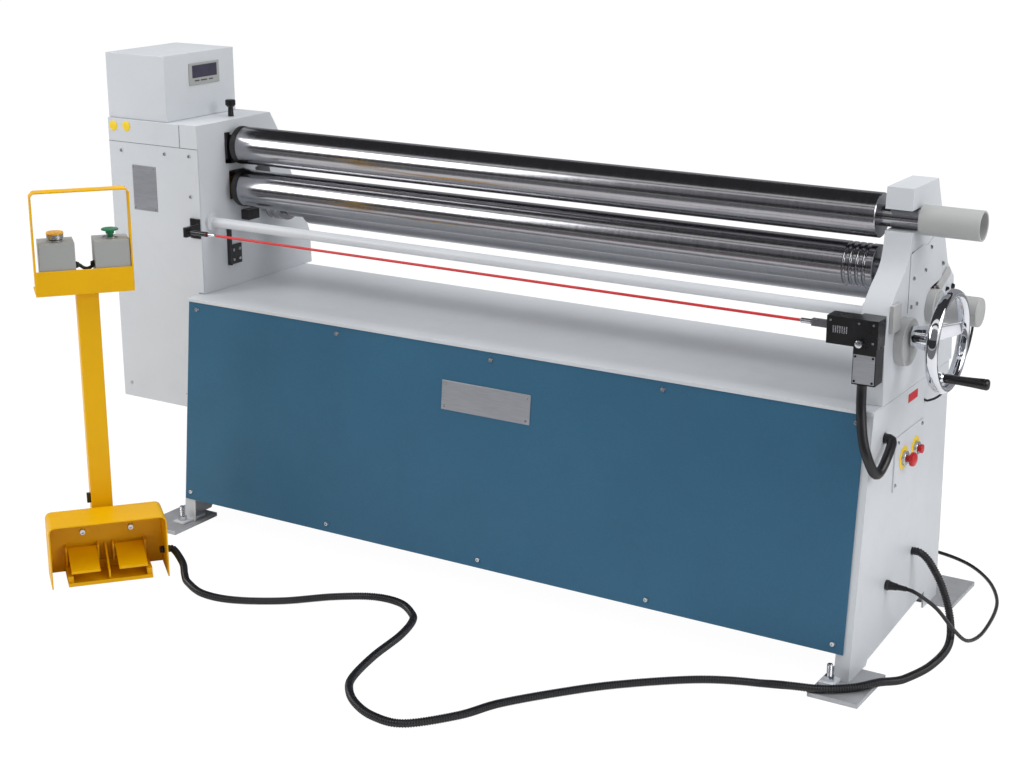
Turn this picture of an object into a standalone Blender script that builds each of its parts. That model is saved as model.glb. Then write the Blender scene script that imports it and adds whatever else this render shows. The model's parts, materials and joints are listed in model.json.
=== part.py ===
"""Plate rolling machine with its pedestal. Metres, +Z up, rolls along X, front towards -Y."""

import math

import bmesh
import bpy
from mathutils import Matrix, Vector

# Fits
GAP = 0.0003
RUNNING = 0.00028
OVERLAP = 0.0005
CLEAR = 0.001
SHEET = 0.0025

# Rolls
ROLL_RADIUS = 0.045
ROLL_START = -0.796
ROLL_END = 0.816
ROLL_EDGE = 0.0015
JOURNAL_RADIUS = 0.0175
TOP_AXIS_Z = 0.907
PINCH_AXIS_Z = 0.803
REAR_AXIS_Y = 0.125
REAR_AXIS_Z = 0.749
REAR_BODY_START = -0.700
REAR_SLEEVE_RADIUS = 0.033
REAR_COLLAR_START = -0.770
REAR_COLLAR_RADIUS = 0.044
REAR_COLLAR_GROOVE = 0.006
SWIVEL_X = -0.8575
SWIVEL_RADIUS = 0.026
SWIVEL_BOTTOM = 0.8625
SWIVEL_TOP = 0.9315
TOP_JOURNAL_LEFT = -0.879
SLOT_JOURNAL_RADIUS = 0.021
HANDLE_START = 0.898
HANDLE_END = 1.020
HANDLE_RADIUS = 0.030
HANDLE_WALL = 0.004
HANDLE_COLLAR = 0.012
WIRE_GROOVES = 4
WIRE_GROOVE_START = 0.752
WIRE_GROOVE_PITCH = 0.014
WIRE_GROOVE_DEPTH = 0.004

# Lift of the rear roll
LIFT_TRAVEL = 0.075
LIFT_SLANT = math.radians(17.45)
BLOCK_HALF = 0.025
PINCH_HALF = 0.028
PINCH_TRAVEL = 0.012
SCREW_RADIUS = 0.008
SCREW_BOTTOM = 0.335
STEM_RADIUS = 0.006
STEM_LENGTH = 0.045
CROSS_Y = 0.172
CROSS_Z = 0.470
CROSS_RADIUS = 0.010
RING_RADIUS = 0.027
RING_HALF_WIDTH = 0.010
BOSS_RADIUS = 0.018

# End frames
LEFT_OUT = -0.885
LEFT_IN = -0.830
RIGHT_IN = 0.835
RIGHT_OUT = 0.890
FRAME_TOP = 0.968
FRAME_FRONT = -0.1395
FRAME_STEP_Z = 0.912
FRAME_TAIL_Y = 0.135
CHAMFER_Y = 0.163
CHAMFER_Z = 0.923
REAR_Y = 0.280
REAR_BEND_Z = 0.640
REAR_FOOT_Y = 0.283
LEG_BOTTOM = 0.515
SLOT_RADIUS = 0.022
CARRIER_OUT = -0.975
CARRIER_IN = -0.957
CARRIER_BAR = 0.012

# Gears
GEAR_TEETH = 26
PINION_TEETH = 13
GEAR_MODULE = 0.004
GEAR_START = -0.940
GEAR_END = -0.912
GEAR_HUB_END = -0.890
GEAR_SHAFT_RADIUS = 0.012
PINION_Y = 0.0624
PINION_Z = 0.7562
MOTOR_RADIUS = 0.060
MOTOR_BOTTOM = 0.400

# Housing
HOUSING_ROOM = 0.136
HOUSING_LEFT = CARRIER_OUT - HOUSING_ROOM
HOUSING_BOTTOM = 0.264
BOX_HEIGHT = 0.156
BOX_WIDTH = 0.186
BOX_TOP = FRAME_TOP + BOX_HEIGHT
BOX_RIGHT = HOUSING_LEFT + BOX_WIDTH
BOX_FRONT = -0.134
BOX_REAR = 0.118
DISPLAY_FRONT = -0.047
DISPLAY_REAR = 0.058
DISPLAY_DROP = 0.028
DISPLAY_HEIGHT = 0.048
DISPLAY_TOP = BOX_TOP - DISPLAY_DROP
DISPLAY_BOTTOM = DISPLAY_TOP - DISPLAY_HEIGHT
DISPLAY_PROUD = 0.002
DISPLAY_DEPTH = 0.030
KNOB_X = -0.866
KNOB_Y = 0.030
KNOB_RADIUS = 0.012
KNOB_HEIGHT = 0.040
KNOB_STEM_RADIUS = 0.005

# Stand
TRAY_TOP = 0.5605
STAND_LEFT = -0.845
STAND_RIGHT = 0.888
STAND_SHEET = 0.004
FLANGE = 0.032
PANEL_LEFT = -0.841
PANEL_RIGHT = 0.872
PANEL_TOP_Y = -0.183
PANEL_TOP_Z = 0.552
PANEL_FOOT_Y = -0.232
PANEL_FOOT_Z = 0.065
PANEL_SHEET = 0.003
STAND_REAR_Y = 0.260
STAND_REAR_FOOT_Y = 0.287
BACK_BOTTOM = 0.140
FOOT_WIDTH = 0.095
REAR_FOOT_WIDTH = 0.085
ARCH_FRONT_Z = 0.014
ARCH_REAR_Z = 0.050
PAD_HEIGHT = 0.010
PAD_HALF_X = 0.0525
PAD_HALF_Y = 0.0775
PAD_RIGHT_X = 0.885
PAD_LEFT_X = -0.860
PAD_FRONT_Y = -0.235
PAD_REAR_Y = 0.325
BOLT_RADIUS = 0.006
BOLT_TOP = 0.052
NUT_RADIUS = 0.0105
NUT_HEIGHT = 0.010
FOOT_PLATE = 0.006
FOOT_REACH = 0.034
BOLT_X = 0.845
BOLT_FRONT_Y = -0.253
BOLT_REAR_Y = 0.309

# Tie bar and trip rope
TIE_Y = -0.100
TIE_Z = 0.733
TIE_RADIUS = 0.012
TIE_FLANGE_RADIUS = 0.0225
TIE_FLANGE = 0.008
TIE_DEPTH = 0.020
ROPE_Y = -0.180
ROPE_Z = 0.722
ROPE_RADIUS = 0.003
ROPE_GRIP = 0.006
ROPE_LEFT = -0.775
ROPE_RIGHT = 0.752
ANCHOR_LEFT = -0.860
SWITCH_LEFT = 0.790
SWITCH_RIGHT = 0.894
SWITCH_TOP = 0.745
SWITCH_BOTTOM = 0.690
SWITCH_HALF_Y = 0.020
SWITCH_STEM_RADIUS = 0.005
CLEVIS_LEFT = 0.752
SWITCH_BOX_LEFT = 0.846
SWITCH_BOX_RIGHT = 0.893
SWITCH_BOX_BOTTOM = 0.616
SWITCH_BOX_TOP = 0.675
SWITCH_PULL = 0.004
RESET_RADIUS = 0.008
RESET_TRAVEL = 0.003
CONDUIT_X = 0.864
CONDUIT_LOW = 0.434
CONDUIT_ENTRY_Y = -0.111
CONDUIT_ENTRY_Z = 0.488

# Handwheel and sensor
WHEEL_Y = -0.055
WHEEL_Z = 0.686
WHEEL_X = 0.983
WHEEL_RADIUS = 0.094
RIM_RADIUS = 0.009
SPOKE_RADIUS = 0.0055
SPOKE_REACH = 0.006
HUB_START = 0.914
HUB_END = 0.957
HUB_RADIUS = 0.0235
WHEEL_SHAFT_RADIUS = 0.010
WHEEL_SHAFT_START = 0.850
FLANGE_DISC_RADIUS = 0.048
FLANGE_DISC_END = 0.910
FLANGE_DISC_DROP = 0.012
GRIP_Y = -0.083
GRIP_Z = 0.620
GRIP_START = 0.990
GRIP_LENGTH = 0.088
GRIP_END = GRIP_START + GRIP_LENGTH
GRIP_RADIUS = 0.011
GRIP_PIN_RADIUS = 0.004
SENSOR_Y = 0.105
SENSOR_Z = 0.710
SENSOR_RADIUS = 0.030
SENSOR_FLANGE_RADIUS = 0.036
SENSOR_FLANGE_END = 0.908
SENSOR_END = 0.995
CABLE_ENTRY_Y = 0.115
CABLE_ENTRY_Z = 0.508
COVER_SHEET = 0.004

# Switch plate on the right panel
PLATE_FRONT = -0.051
PLATE_REAR = 0.112
PLATE_BOTTOM = 0.355
PLATE_TOP = 0.470
STOP_Y = -0.001
STOP_Z = 0.416
STOP_RADIUS = 0.015
STOP_HEIGHT = 0.012
STOP_TRAVEL = 0.005
SIDE_Y = 0.067
SIDE_Z = 0.418
SIDE_RADIUS = 0.011
SIDE_TRAVEL = 0.003
BUTTON_STEM_RADIUS = 0.007
COLLAR_HEIGHT = 0.008
STEM_INSIDE = 0.020

# Pedestal
PEDESTAL_X = -0.7315
PEDESTAL_Y = -0.6106
PEDESTAL_TURN = math.radians(49.652)
GUARD_HALF = 0.131
GUARD_HEIGHT = 0.147
GUARD_DEPTH = 0.105
GUARD_CORNER = 0.014
BASE_HALF = 0.086
BASE_HEIGHT = 0.022
BASE_LIP = 0.008
BASE_DEPTH = 0.098
PEDAL_HALF = 0.032
PEDAL_LEFT_U = -0.0545
PEDAL_RIGHT_U = 0.0515
PEDAL_AXIS_OFF = 0.088
PEDAL_AXIS_Z = 0.056
PEDAL_TIP_Z = 0.031
PEDAL_THICK = 0.006
PEDAL_PIN = 0.005
EAR = 0.004
EAR_TOP = 0.066
POST_HALF = 0.024
POST_WALL = 0.003
POST_FRONT = 0.115
POST_TOP = 0.655
HEAD_LEFT = -0.113
HEAD_RIGHT = 0.101
HEAD_TOP = 0.710
HEAD_FRONT = 0.085
HEAD_DEPTH = 0.090
LOOP_TOP = 0.886
LOOP_WIDTH = 0.030
LOOP_THICK = 0.004
LOOP_CORNER = 0.009
BOX_HALF = 0.0385
BOX_LEFT_U = -0.0615
BOX_RIGHT_U = 0.0575
BOX_BOTTOM_Z = 0.6593
BOX_TOP_Z = 0.770
BOX_DEPTH = 0.070
PUSH_RADIUS = 0.019
PUSH_HEIGHT = 0.013
PUSH_TRAVEL = 0.005
PUSH_WELL = 0.030
FOOT_FLANGE_HALF = 0.045

# Cords
HOSE_RADIUS = 0.0085
HOSE_INNER = 0.0068
HOSE_BORE = 0.0052
HOSE_RIBS = 92
HOSE_EXIT_BACK = 0.055
HOSE_EXIT_Z = 0.046
HOSE_ENTRY_Y = 0.100
HOSE_ENTRY_Z = 0.178
CORD_RADIUS = 0.004
GLAND_RADIUS = 0.011
GLAND_Y = -0.050
GLAND_Z = 0.155
GLAND_END = 0.932
COIL_RADIUS = 0.048
COIL_LOOPS = 6
COIL_STEP = 0.0088
COIL_X = 0.530
COIL_Y = 0.370
SENSOR_CORD_RADIUS = 0.0025
CONDUIT_RADIUS = 0.010
PLUG_RADIUS = 0.017
PLUG_LENGTH = 0.038
PLUG_PIN_RADIUS = 0.0024
PLUG_PIN_LENGTH = 0.019

# Extent of the whole object without its cords
CENTRE_X = (HOUSING_LEFT + GRIP_END) / 2
GUARD_FRONT_Y = PEDESTAL_Y - GUARD_HALF * math.sin(PEDESTAL_TURN)
CENTRE_Y = (GUARD_FRONT_Y + PAD_REAR_Y + PAD_HALF_Y) / 2

for old in list(bpy.data.objects):
    bpy.data.objects.remove(old, do_unlink=True)

machine = bpy.data.collections.new("plate_rolling_machine")
tools = bpy.data.collections.new("tools")
tools.hide_render = True
bpy.context.scene.collection.children.link(machine)
bpy.context.scene.collection.children.link(tools)

root = bpy.data.objects.new("machine_origin", None)
root.location = (-CENTRE_X, -CENTRE_Y, 0)
machine.objects.link(root)
pedestal = bpy.data.objects.new("pedestal_origin", None)
pedestal.parent = root
pedestal.location = (PEDESTAL_X, PEDESTAL_Y, 0)
pedestal.rotation_euler = (0, 0, PEDESTAL_TURN)
machine.objects.link(pedestal)

ACROSS = Matrix(((0, 0, 1, 0), (1, 0, 0, 0), (0, 1, 0, 0), (0, 0, 0, 1)))
FACING = Matrix(((1, 0, 0, 0), (0, 0, -1, 0), (0, 1, 0, 0), (0, 0, 0, 1)))
FLAT = Matrix.Identity(4)


def material(name, colour, roughness, metallic=0.0):
    mat = bpy.data.materials.new(name)
    mat.use_nodes = True
    shader = mat.node_tree.nodes["Principled BSDF"]
    shader.inputs["Base Color"].default_value = (*colour, 1)
    shader.inputs["Roughness"].default_value = roughness
    shader.inputs["Metallic"].default_value = metallic
    mat.diffuse_color = (*colour, 1)
    return mat


def mesh_of(bm):
    mesh = bpy.data.meshes.new("shape")
    bmesh.ops.recalc_face_normals(bm, faces=bm.faces)
    bm.to_mesh(mesh)
    bm.free()
    return mesh


def box(low, high):
    """A block between two opposite corners."""
    bm = bmesh.new()
    bmesh.ops.create_cube(bm, size=1.0)
    low = Vector(low)
    high = Vector(high)
    bmesh.ops.scale(bm, vec=high - low, verts=bm.verts)
    bmesh.ops.translate(bm, vec=(low + high) / 2, verts=bm.verts)
    return mesh_of(bm)


def rod(start, end, radius, sides=18, end_radius=None):
    """A cylinder or cone between two points."""
    start = Vector(start)
    end = Vector(end)
    along = end - start
    bm = bmesh.new()
    bmesh.ops.create_cone(
        bm,
        cap_ends=True,
        segments=sides,
        radius1=radius,
        radius2=radius if end_radius is None else end_radius,
        depth=along.length,
        matrix=Matrix.Translation((start + end) / 2)
        @ Vector((0, 0, 1)).rotation_difference(along).to_matrix().to_4x4(),
    )
    return mesh_of(bm)


def from_object(obj):
    """The mesh that an object's modifiers or curve settings make, with its loose caps joined."""
    graph = bpy.context.evaluated_depsgraph_get()
    mesh = bpy.data.meshes.new_from_object(obj.evaluated_get(graph))
    mesh.transform(obj.matrix_world)
    bm = bmesh.new()
    bm.from_mesh(mesh)
    bmesh.ops.remove_doubles(bm, verts=bm.verts, dist=OVERLAP / 50)
    bpy.data.objects.remove(obj, do_unlink=True)
    return mesh_of(bm)


def temporary(data):
    obj = bpy.data.objects.new("temporary", data)
    tools.objects.link(obj)
    return obj


def turned(profile, start, axis="X", sides=28):
    """A profile of (distance along, radius) pairs spun round an axis through start."""
    bm = bmesh.new()
    points = [bm.verts.new((radius, 0, -along)) for along, radius in profile]
    for first, second in zip(points, points[1:]):
        bm.edges.new((first, second))
    mesh = bpy.data.meshes.new("profile")
    bm.to_mesh(mesh)
    bm.free()
    obj = temporary(mesh)
    spin = obj.modifiers.new("Screw", "SCREW")
    spin.axis = "Z"
    spin.steps = sides
    spin.render_steps = sides
    spin.use_merge_vertices = True
    spin.merge_threshold = OVERLAP / 10
    bpy.context.view_layer.update()
    solid = from_object(obj)
    turn = {"X": Matrix.Rotation(math.radians(-90), 4, "Y"), "Z": Matrix.Rotation(math.pi, 4, "X")}
    solid.transform(Matrix.Translation(start) @ turn[axis])
    return solid


def plate(outline, start, end, facing=ACROSS, bevel=0.0):
    """A flat outline given a thickness, from start to end along its normal."""
    curve = bpy.data.curves.new("outline", "CURVE")
    curve.dimensions = "2D"
    curve.fill_mode = "BOTH"
    curve.extrude = abs(end - start) / 2 - bevel
    curve.bevel_depth = bevel
    curve.bevel_resolution = 0
    curve.offset = -bevel
    spline = curve.splines.new("POLY")
    spline.points.add(len(outline) - 1)
    for point, (first, second) in zip(spline.points, outline):
        point.co = (first, second, 0, 1)
    spline.use_cyclic_u = True
    obj = temporary(curve)
    bpy.context.view_layer.update()
    solid = from_object(obj)
    solid.transform(facing @ Matrix.Translation((0, 0, (start + end) / 2)))
    return solid


def smooth_route(points, count, lowest=-1.0):
    """Evenly spaced points on a smooth curve through the route points, none below the lowest height."""
    knots = [Vector(p) for p in points]
    knots = [2 * knots[0] - knots[1], *knots, 2 * knots[-1] - knots[-2]]
    fine = []
    for a, b, c, d in zip(knots, knots[1:], knots[2:], knots[3:]):
        for step in range(24):
            t = step / 24
            fine.append(
                0.5 * (2 * b + (c - a) * t + (2 * a - 5 * b + 4 * c - d) * t * t
                       + (3 * b - a - 3 * c + d) * t * t * t)
            )
    fine.append(knots[-2])
    lengths = [0.0]
    for a, b in zip(fine, fine[1:]):
        lengths.append(lengths[-1] + (b - a).length)
    even = []
    at = 0
    for i in range(count):
        want = lengths[-1] * i / (count - 1)
        while at < len(lengths) - 2 and lengths[at + 1] < want:
            at += 1
        share = (want - lengths[at]) / (lengths[at + 1] - lengths[at])
        point = fine[at].lerp(fine[at + 1], share)
        point.z = max(point.z, lowest)
        even.append(point)
    return even


def tube(points, radius, rings=2, radii=None):
    """A round wire through the points, capped at both ends."""
    curve = bpy.data.curves.new("wire", "CURVE")
    curve.dimensions = "3D"
    curve.bevel_depth = radius
    curve.bevel_resolution = rings
    curve.use_fill_caps = True
    spline = curve.splines.new("POLY")
    spline.points.add(len(points) - 1)
    for i, point in enumerate(points):
        spline.points[i].co = (*point, 1)
        spline.points[i].radius = radii[i] if radii else 1.0
    obj = temporary(curve)
    bpy.context.view_layer.update()
    return from_object(obj)


def piece(name, shapes, mat, origin=(0, 0, 0), cuts=(), parent=None):
    """One named part: the first shape, the others joined on, the cuts taken out, about its own origin."""
    parent = parent or root
    origin = Vector(origin)
    place = Matrix.Translation(origin)
    back = place.inverted()

    def held(mesh, label, collection):
        mesh.transform(back)
        obj = bpy.data.objects.new(label, mesh)
        collection.objects.link(obj)
        obj.parent = parent
        obj.matrix_local = place
        return obj

    body = held(shapes[0], name, machine)
    body.data.name = name
    for kind, meshes in (("UNION", shapes[1:]), ("DIFFERENCE", cuts)):
        for number, mesh in enumerate(meshes):
            helper = held(mesh, f"{name}_{kind.lower()}_{number}", tools)
            helper.hide_render = True
            helper.display_type = "WIRE"
            step = body.modifiers.new(f"{kind.title()} {number}", "BOOLEAN")
            step.operation = kind
            step.solver = "EXACT"
            step.object = helper
    body.data.materials.append(mat)
    return body


BLUE = material("blue_paint", (0.05, 0.16, 0.25), 0.42)
LIGHT = material("light_paint", (0.62, 0.64, 0.62), 0.45)
GREY = material("grey_paint", (0.30, 0.31, 0.31), 0.45)
STEEL = material("ground_steel", (0.62, 0.62, 0.60), 0.28, 1.0)
DARK_STEEL = material("dark_steel", (0.10, 0.10, 0.10), 0.45, 0.8)
CHROME = material("chrome", (0.80, 0.80, 0.80), 0.12, 1.0)
BLACK = material("black_plastic", (0.015, 0.015, 0.015), 0.4)
RUBBER = material("black_rubber", (0.02, 0.02, 0.02), 0.7)
YELLOW = material("yellow_paint", (0.80, 0.55, 0.02), 0.42)
RED = material("red_plastic", (0.65, 0.02, 0.02), 0.35)
GREEN = material("green_plastic", (0.02, 0.35, 0.10), 0.35)
AMBER = material("amber_plastic", (0.75, 0.38, 0.02), 0.35)
BOX_GREY = material("box_grey", (0.45, 0.46, 0.46), 0.45)
BRONZE = material("bronze", (0.55, 0.36, 0.16), 0.35, 1.0)

# Directions of the slanted lift, in the plane across the rolls
LIFT = Vector((0, -math.sin(LIFT_SLANT), math.cos(LIFT_SLANT)))
SIDEWAYS = Vector((0, math.cos(LIFT_SLANT), math.sin(LIFT_SLANT)))
REAR_AXIS = Vector((0, REAR_AXIS_Y, REAR_AXIS_Z))


def on_lift(along, aside):
    """A (y, z) point so far up the lift and so far to the rear of it."""
    point = REAR_AXIS + along * LIFT + aside * SIDEWAYS
    return point.y, point.z


def slanted(low, high, half):
    """The (y, z) corners of a slanted block."""
    return [on_lift(low, -half), on_lift(low, half), on_lift(high, half), on_lift(high, -half)]


def at_x(x, pair):
    return x, pair[0], pair[1]


def on_panel(z, inset=0.0):
    """The y of the leaning front panel's face at a height."""
    lean = (PANEL_FOOT_Y - PANEL_TOP_Y) / (PANEL_TOP_Z - PANEL_FOOT_Z)
    return PANEL_TOP_Y + lean * (PANEL_TOP_Z - z) + inset


def on_back(z, inset=0.0):
    """The y of the stand's leaning rear edge at a height."""
    lean = (STAND_REAR_FOOT_Y - STAND_REAR_Y) / TRAY_TOP
    return STAND_REAR_Y + lean * (TRAY_TOP - z) - inset


# Stand sides
FOOT_LOW = PAD_HEIGHT + GAP
UNDER_TRAY = TRAY_TOP - SHEET - GAP
BEHIND_PANEL = PANEL_SHEET + GAP
BEFORE_BACK = SHEET + GAP
LIFT_X_LEFT = (LEFT_OUT + LEFT_IN) / 2
LIFT_X_RIGHT = (RIGHT_IN + RIGHT_OUT) / 2
CROSS_BOSS_RIGHT = LIFT_X_RIGHT + RING_HALF_WIDTH + SHEET
CROSS_BOSS_LEFT = STAND_LEFT + FLANGE / 2
CROSS_END_RIGHT = STAND_RIGHT - STAND_SHEET - GAP
CROSS_END_LEFT = LIFT_X_LEFT - RING_HALF_WIDTH - SHEET
SCREW_HOLE = SCREW_RADIUS + SHEET
WALL_MIDDLE = STAND_RIGHT - STAND_SHEET / 2


def stand_side(name, outer, inward, bolt_x, extra, cuts):
    """A folded side panel with its flanges, its two foot plates and the boss for the cross shaft."""
    inner = outer + inward * STAND_SHEET
    fold = outer + inward * FLANGE
    front_foot = on_panel(FOOT_LOW, BEHIND_PANEL)
    rear_foot = on_back(FOOT_LOW, BEFORE_BACK)
    web = [
        (front_foot, FOOT_LOW),
        (front_foot + FOOT_WIDTH, FOOT_LOW),
        (front_foot + FOOT_WIDTH + FOOT_PLATE, ARCH_FRONT_Z + FOOT_PLATE),
        (rear_foot - REAR_FOOT_WIDTH, ARCH_REAR_Z),
        (rear_foot - REAR_FOOT_WIDTH, FOOT_LOW),
        (rear_foot, FOOT_LOW),
        (on_back(UNDER_TRAY, BEFORE_BACK), UNDER_TRAY),
        (on_panel(UNDER_TRAY, BEHIND_PANEL), UNDER_TRAY),
    ]
    front_flange = [
        (on_panel(FOOT_LOW, BEHIND_PANEL), FOOT_LOW),
        (on_panel(FOOT_LOW, BEHIND_PANEL + STAND_SHEET), FOOT_LOW),
        (on_panel(UNDER_TRAY, BEHIND_PANEL + STAND_SHEET), UNDER_TRAY),
        (on_panel(UNDER_TRAY, BEHIND_PANEL), UNDER_TRAY),
    ]
    rear_flange = [
        (on_back(FOOT_LOW, BEFORE_BACK), FOOT_LOW),
        (on_back(UNDER_TRAY, BEFORE_BACK), UNDER_TRAY),
        (on_back(UNDER_TRAY, BEFORE_BACK + STAND_SHEET), UNDER_TRAY),
        (on_back(FOOT_LOW, BEFORE_BACK + STAND_SHEET), FOOT_LOW),
    ]
    low_x = min(outer, fold)
    high_x = max(outer, fold)
    low_web = min(outer, inner)
    high_web = max(outer, inner)
    foot_edge = FOOT_LOW + FOOT_PLATE
    boss_end = CROSS_BOSS_RIGHT if inward < 0 else CROSS_BOSS_LEFT
    shapes = [
        plate(web, low_web, high_web),
        plate(front_flange, low_x, high_x),
        plate(rear_flange, low_x, high_x),
        box((low_x, on_panel(UNDER_TRAY, BEHIND_PANEL), UNDER_TRAY - STAND_SHEET),
            (high_x, on_back(UNDER_TRAY, BEFORE_BACK), UNDER_TRAY)),
        box((bolt_x - FLANGE / 2, BOLT_FRONT_Y - FOOT_REACH / 2, FOOT_LOW),
            (bolt_x + FLANGE / 2, front_foot + FOOT_WIDTH / 2, foot_edge)),
        box((bolt_x - FLANGE / 2, rear_foot - REAR_FOOT_WIDTH / 2, FOOT_LOW),
            (bolt_x + FLANGE / 2, BOLT_REAR_Y + FOOT_REACH / 2, foot_edge)),
        rod((boss_end, CROSS_Y, CROSS_Z), (inner - inward * OVERLAP, CROSS_Y, CROSS_Z), BOSS_RADIUS),
        *extra,
    ]
    bolt_hole = BOLT_RADIUS + GAP
    cuts = [
        rod((bolt_x, BOLT_FRONT_Y, 0), (bolt_x, BOLT_FRONT_Y, foot_edge + FOOT_PLATE), bolt_hole, 16),
        rod((bolt_x, BOLT_REAR_Y, 0), (bolt_x, BOLT_REAR_Y, foot_edge + FOOT_PLATE), bolt_hole, 16),
        *cuts,
    ]
    return piece(name, shapes, LIGHT, cuts=cuts)


def screw_bore(x, low, high, radius):
    """A cutter along the slanted lift screw."""
    return rod(at_x(x, on_lift(low, 0)), at_x(x, on_lift(high, 0)), radius, 20)


def wall_hole(y, z, radius):
    """A cutter through the right side panel."""
    return rod((STAND_RIGHT - STAND_SHEET * 2, y, z), (STAND_RIGHT + STAND_SHEET, y, z), radius, 20)


cross_bore = CROSS_RADIUS + RUNNING
stand_side(
    "stand_left_side",
    STAND_LEFT,
    1,
    NUT_HEIGHT - BOLT_X,
    [],
    [rod((STAND_LEFT - FLANGE, CROSS_Y, CROSS_Z), (STAND_LEFT + FLANGE, CROSS_Y, CROSS_Z), cross_bore)],
)
stand_side(
    "stand_right_side",
    STAND_RIGHT,
    -1,
    BOLT_X + NUT_HEIGHT,
    [],
    [
        rod((CROSS_BOSS_RIGHT - FLANGE, CROSS_Y, CROSS_Z), (CROSS_END_RIGHT, CROSS_Y, CROSS_Z), cross_bore),
        screw_bore(LIFT_X_RIGHT, -SCREW_BOTTOM, 0, SCREW_HOLE),
        wall_hole(HOSE_ENTRY_Y, HOSE_ENTRY_Z, HOSE_RADIUS + GAP * 2),
        wall_hole(CONDUIT_ENTRY_Y, CONDUIT_ENTRY_Z, CONDUIT_RADIUS * 1.2),
        wall_hole(CABLE_ENTRY_Y, CABLE_ENTRY_Z, SENSOR_CORD_RADIUS * 1.6),
        box((STAND_RIGHT - STAND_SHEET * 2, PLATE_FRONT + STEM_INSIDE, PLATE_BOTTOM + COLLAR_HEIGHT),
            (STAND_RIGHT + STAND_SHEET, PLATE_REAR - STEM_INSIDE, PLATE_TOP - STEM_INSIDE)),
    ],
)

# Tray folded down into the back sheet
tray_outline = [
    (PANEL_TOP_Y - PANEL_SHEET, PANEL_TOP_Z + GAP),
    (PANEL_TOP_Y - PANEL_SHEET, TRAY_TOP),
    (on_back(TRAY_TOP), TRAY_TOP),
    (on_back(BACK_BOTTOM), BACK_BOTTOM),
    (on_back(BACK_BOTTOM, SHEET), BACK_BOTTOM),
    (on_back(TRAY_TOP - SHEET, SHEET), TRAY_TOP - SHEET),
    (PANEL_TOP_Y, TRAY_TOP - SHEET),
    (PANEL_TOP_Y, PANEL_TOP_Z + GAP),
]
piece(
    "stand_tray",
    [plate(tray_outline, STAND_LEFT, STAND_RIGHT)],
    LIGHT,
    cuts=[screw_bore(LIFT_X_RIGHT, -SCREW_BOTTOM, 0, SCREW_HOLE)],
)
panel_outline = [
    (on_panel(PANEL_TOP_Z), PANEL_TOP_Z),
    (on_panel(PANEL_FOOT_Z), PANEL_FOOT_Z),
    (on_panel(PANEL_FOOT_Z, PANEL_SHEET), PANEL_FOOT_Z),
    (on_panel(PANEL_TOP_Z, PANEL_SHEET), PANEL_TOP_Z),
]
piece("front_panel", [plate(panel_outline, PANEL_LEFT, PANEL_RIGHT)], BLUE)

for side, pad_x, bolt_x in (("left", PAD_LEFT_X, NUT_HEIGHT - BOLT_X), ("right", PAD_RIGHT_X, BOLT_X + NUT_HEIGHT)):
    for end, pad_y, bolt_y in (("front", PAD_FRONT_Y, BOLT_FRONT_Y), ("rear", PAD_REAR_Y, BOLT_REAR_Y)):
        nut_low = FOOT_LOW + FOOT_PLATE + GAP
        piece(
            f"levelling_foot_{end}_{side}",
            [
                box((pad_x - PAD_HALF_X, pad_y - PAD_HALF_Y, 0), (pad_x + PAD_HALF_X, pad_y + PAD_HALF_Y, PAD_HEIGHT)),
                rod((bolt_x, bolt_y, PAD_HEIGHT - OVERLAP), (bolt_x, bolt_y, BOLT_TOP), BOLT_RADIUS, 16),
                rod((bolt_x, bolt_y, nut_low), (bolt_x, bolt_y, nut_low + NUT_HEIGHT), NUT_RADIUS, 6),
            ],
            DARK_STEEL,
        )

# End frames
REAR_SLOT = slanted(-BLOCK_HALF - GAP, LIFT_TRAVEL + BLOCK_HALF + SHEET, BLOCK_HALF + GAP)
PINCH_LOW = PINCH_AXIS_Z - PINCH_HALF
PINCH_HIGH = PINCH_AXIS_Z + PINCH_HALF


def pinch_window(start, end):
    side = PINCH_HALF + GAP
    return box((start, -side, PINCH_LOW - GAP), (end, side, PINCH_HIGH + PINCH_TRAVEL + SHEET))


def stem_bore(x):
    radius = STEM_RADIUS + GAP
    return rod((x, 0, PINCH_LOW - STEM_LENGTH - SHEET), (x, 0, PINCH_AXIS_Z), radius, 16)


front_inset = SHEET + GAP
left_outline = [
    (FRAME_FRONT + front_inset, TRAY_TOP + GAP),
    (FRAME_FRONT + front_inset, FRAME_STEP_Z),
    (FRAME_FRONT, FRAME_STEP_Z + GAP),
    (FRAME_FRONT, FRAME_TOP),
    (FRAME_TAIL_Y, FRAME_TOP),
    (CHAMFER_Y, CHAMFER_Z),
    (REAR_Y, REAR_BEND_Z),
    (REAR_FOOT_Y, TRAY_TOP + GAP),
]
leg_outline = [
    (FRAME_FRONT + front_inset, LEG_BOTTOM),
    (FRAME_FRONT + front_inset, TRAY_TOP + SHEET),
    (on_back(TRAY_TOP), TRAY_TOP + SHEET),
    (on_back(TRAY_TOP), LEG_BOTTOM),
]
carrier_half = GEAR_MODULE * GEAR_TEETH / 2 + CARRIER_BAR
carrier_low = PINION_Z - carrier_half
carrier_high = TOP_AXIS_Z + GEAR_SHAFT_RADIUS * 2
carrier_front = -carrier_half - CARRIER_BAR
carrier_rear = PINION_Y + carrier_half
shaft_bore = GEAR_SHAFT_RADIUS + RUNNING
past_left = LEFT_OUT - SHEET
past_right = LEFT_IN + SHEET
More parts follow.
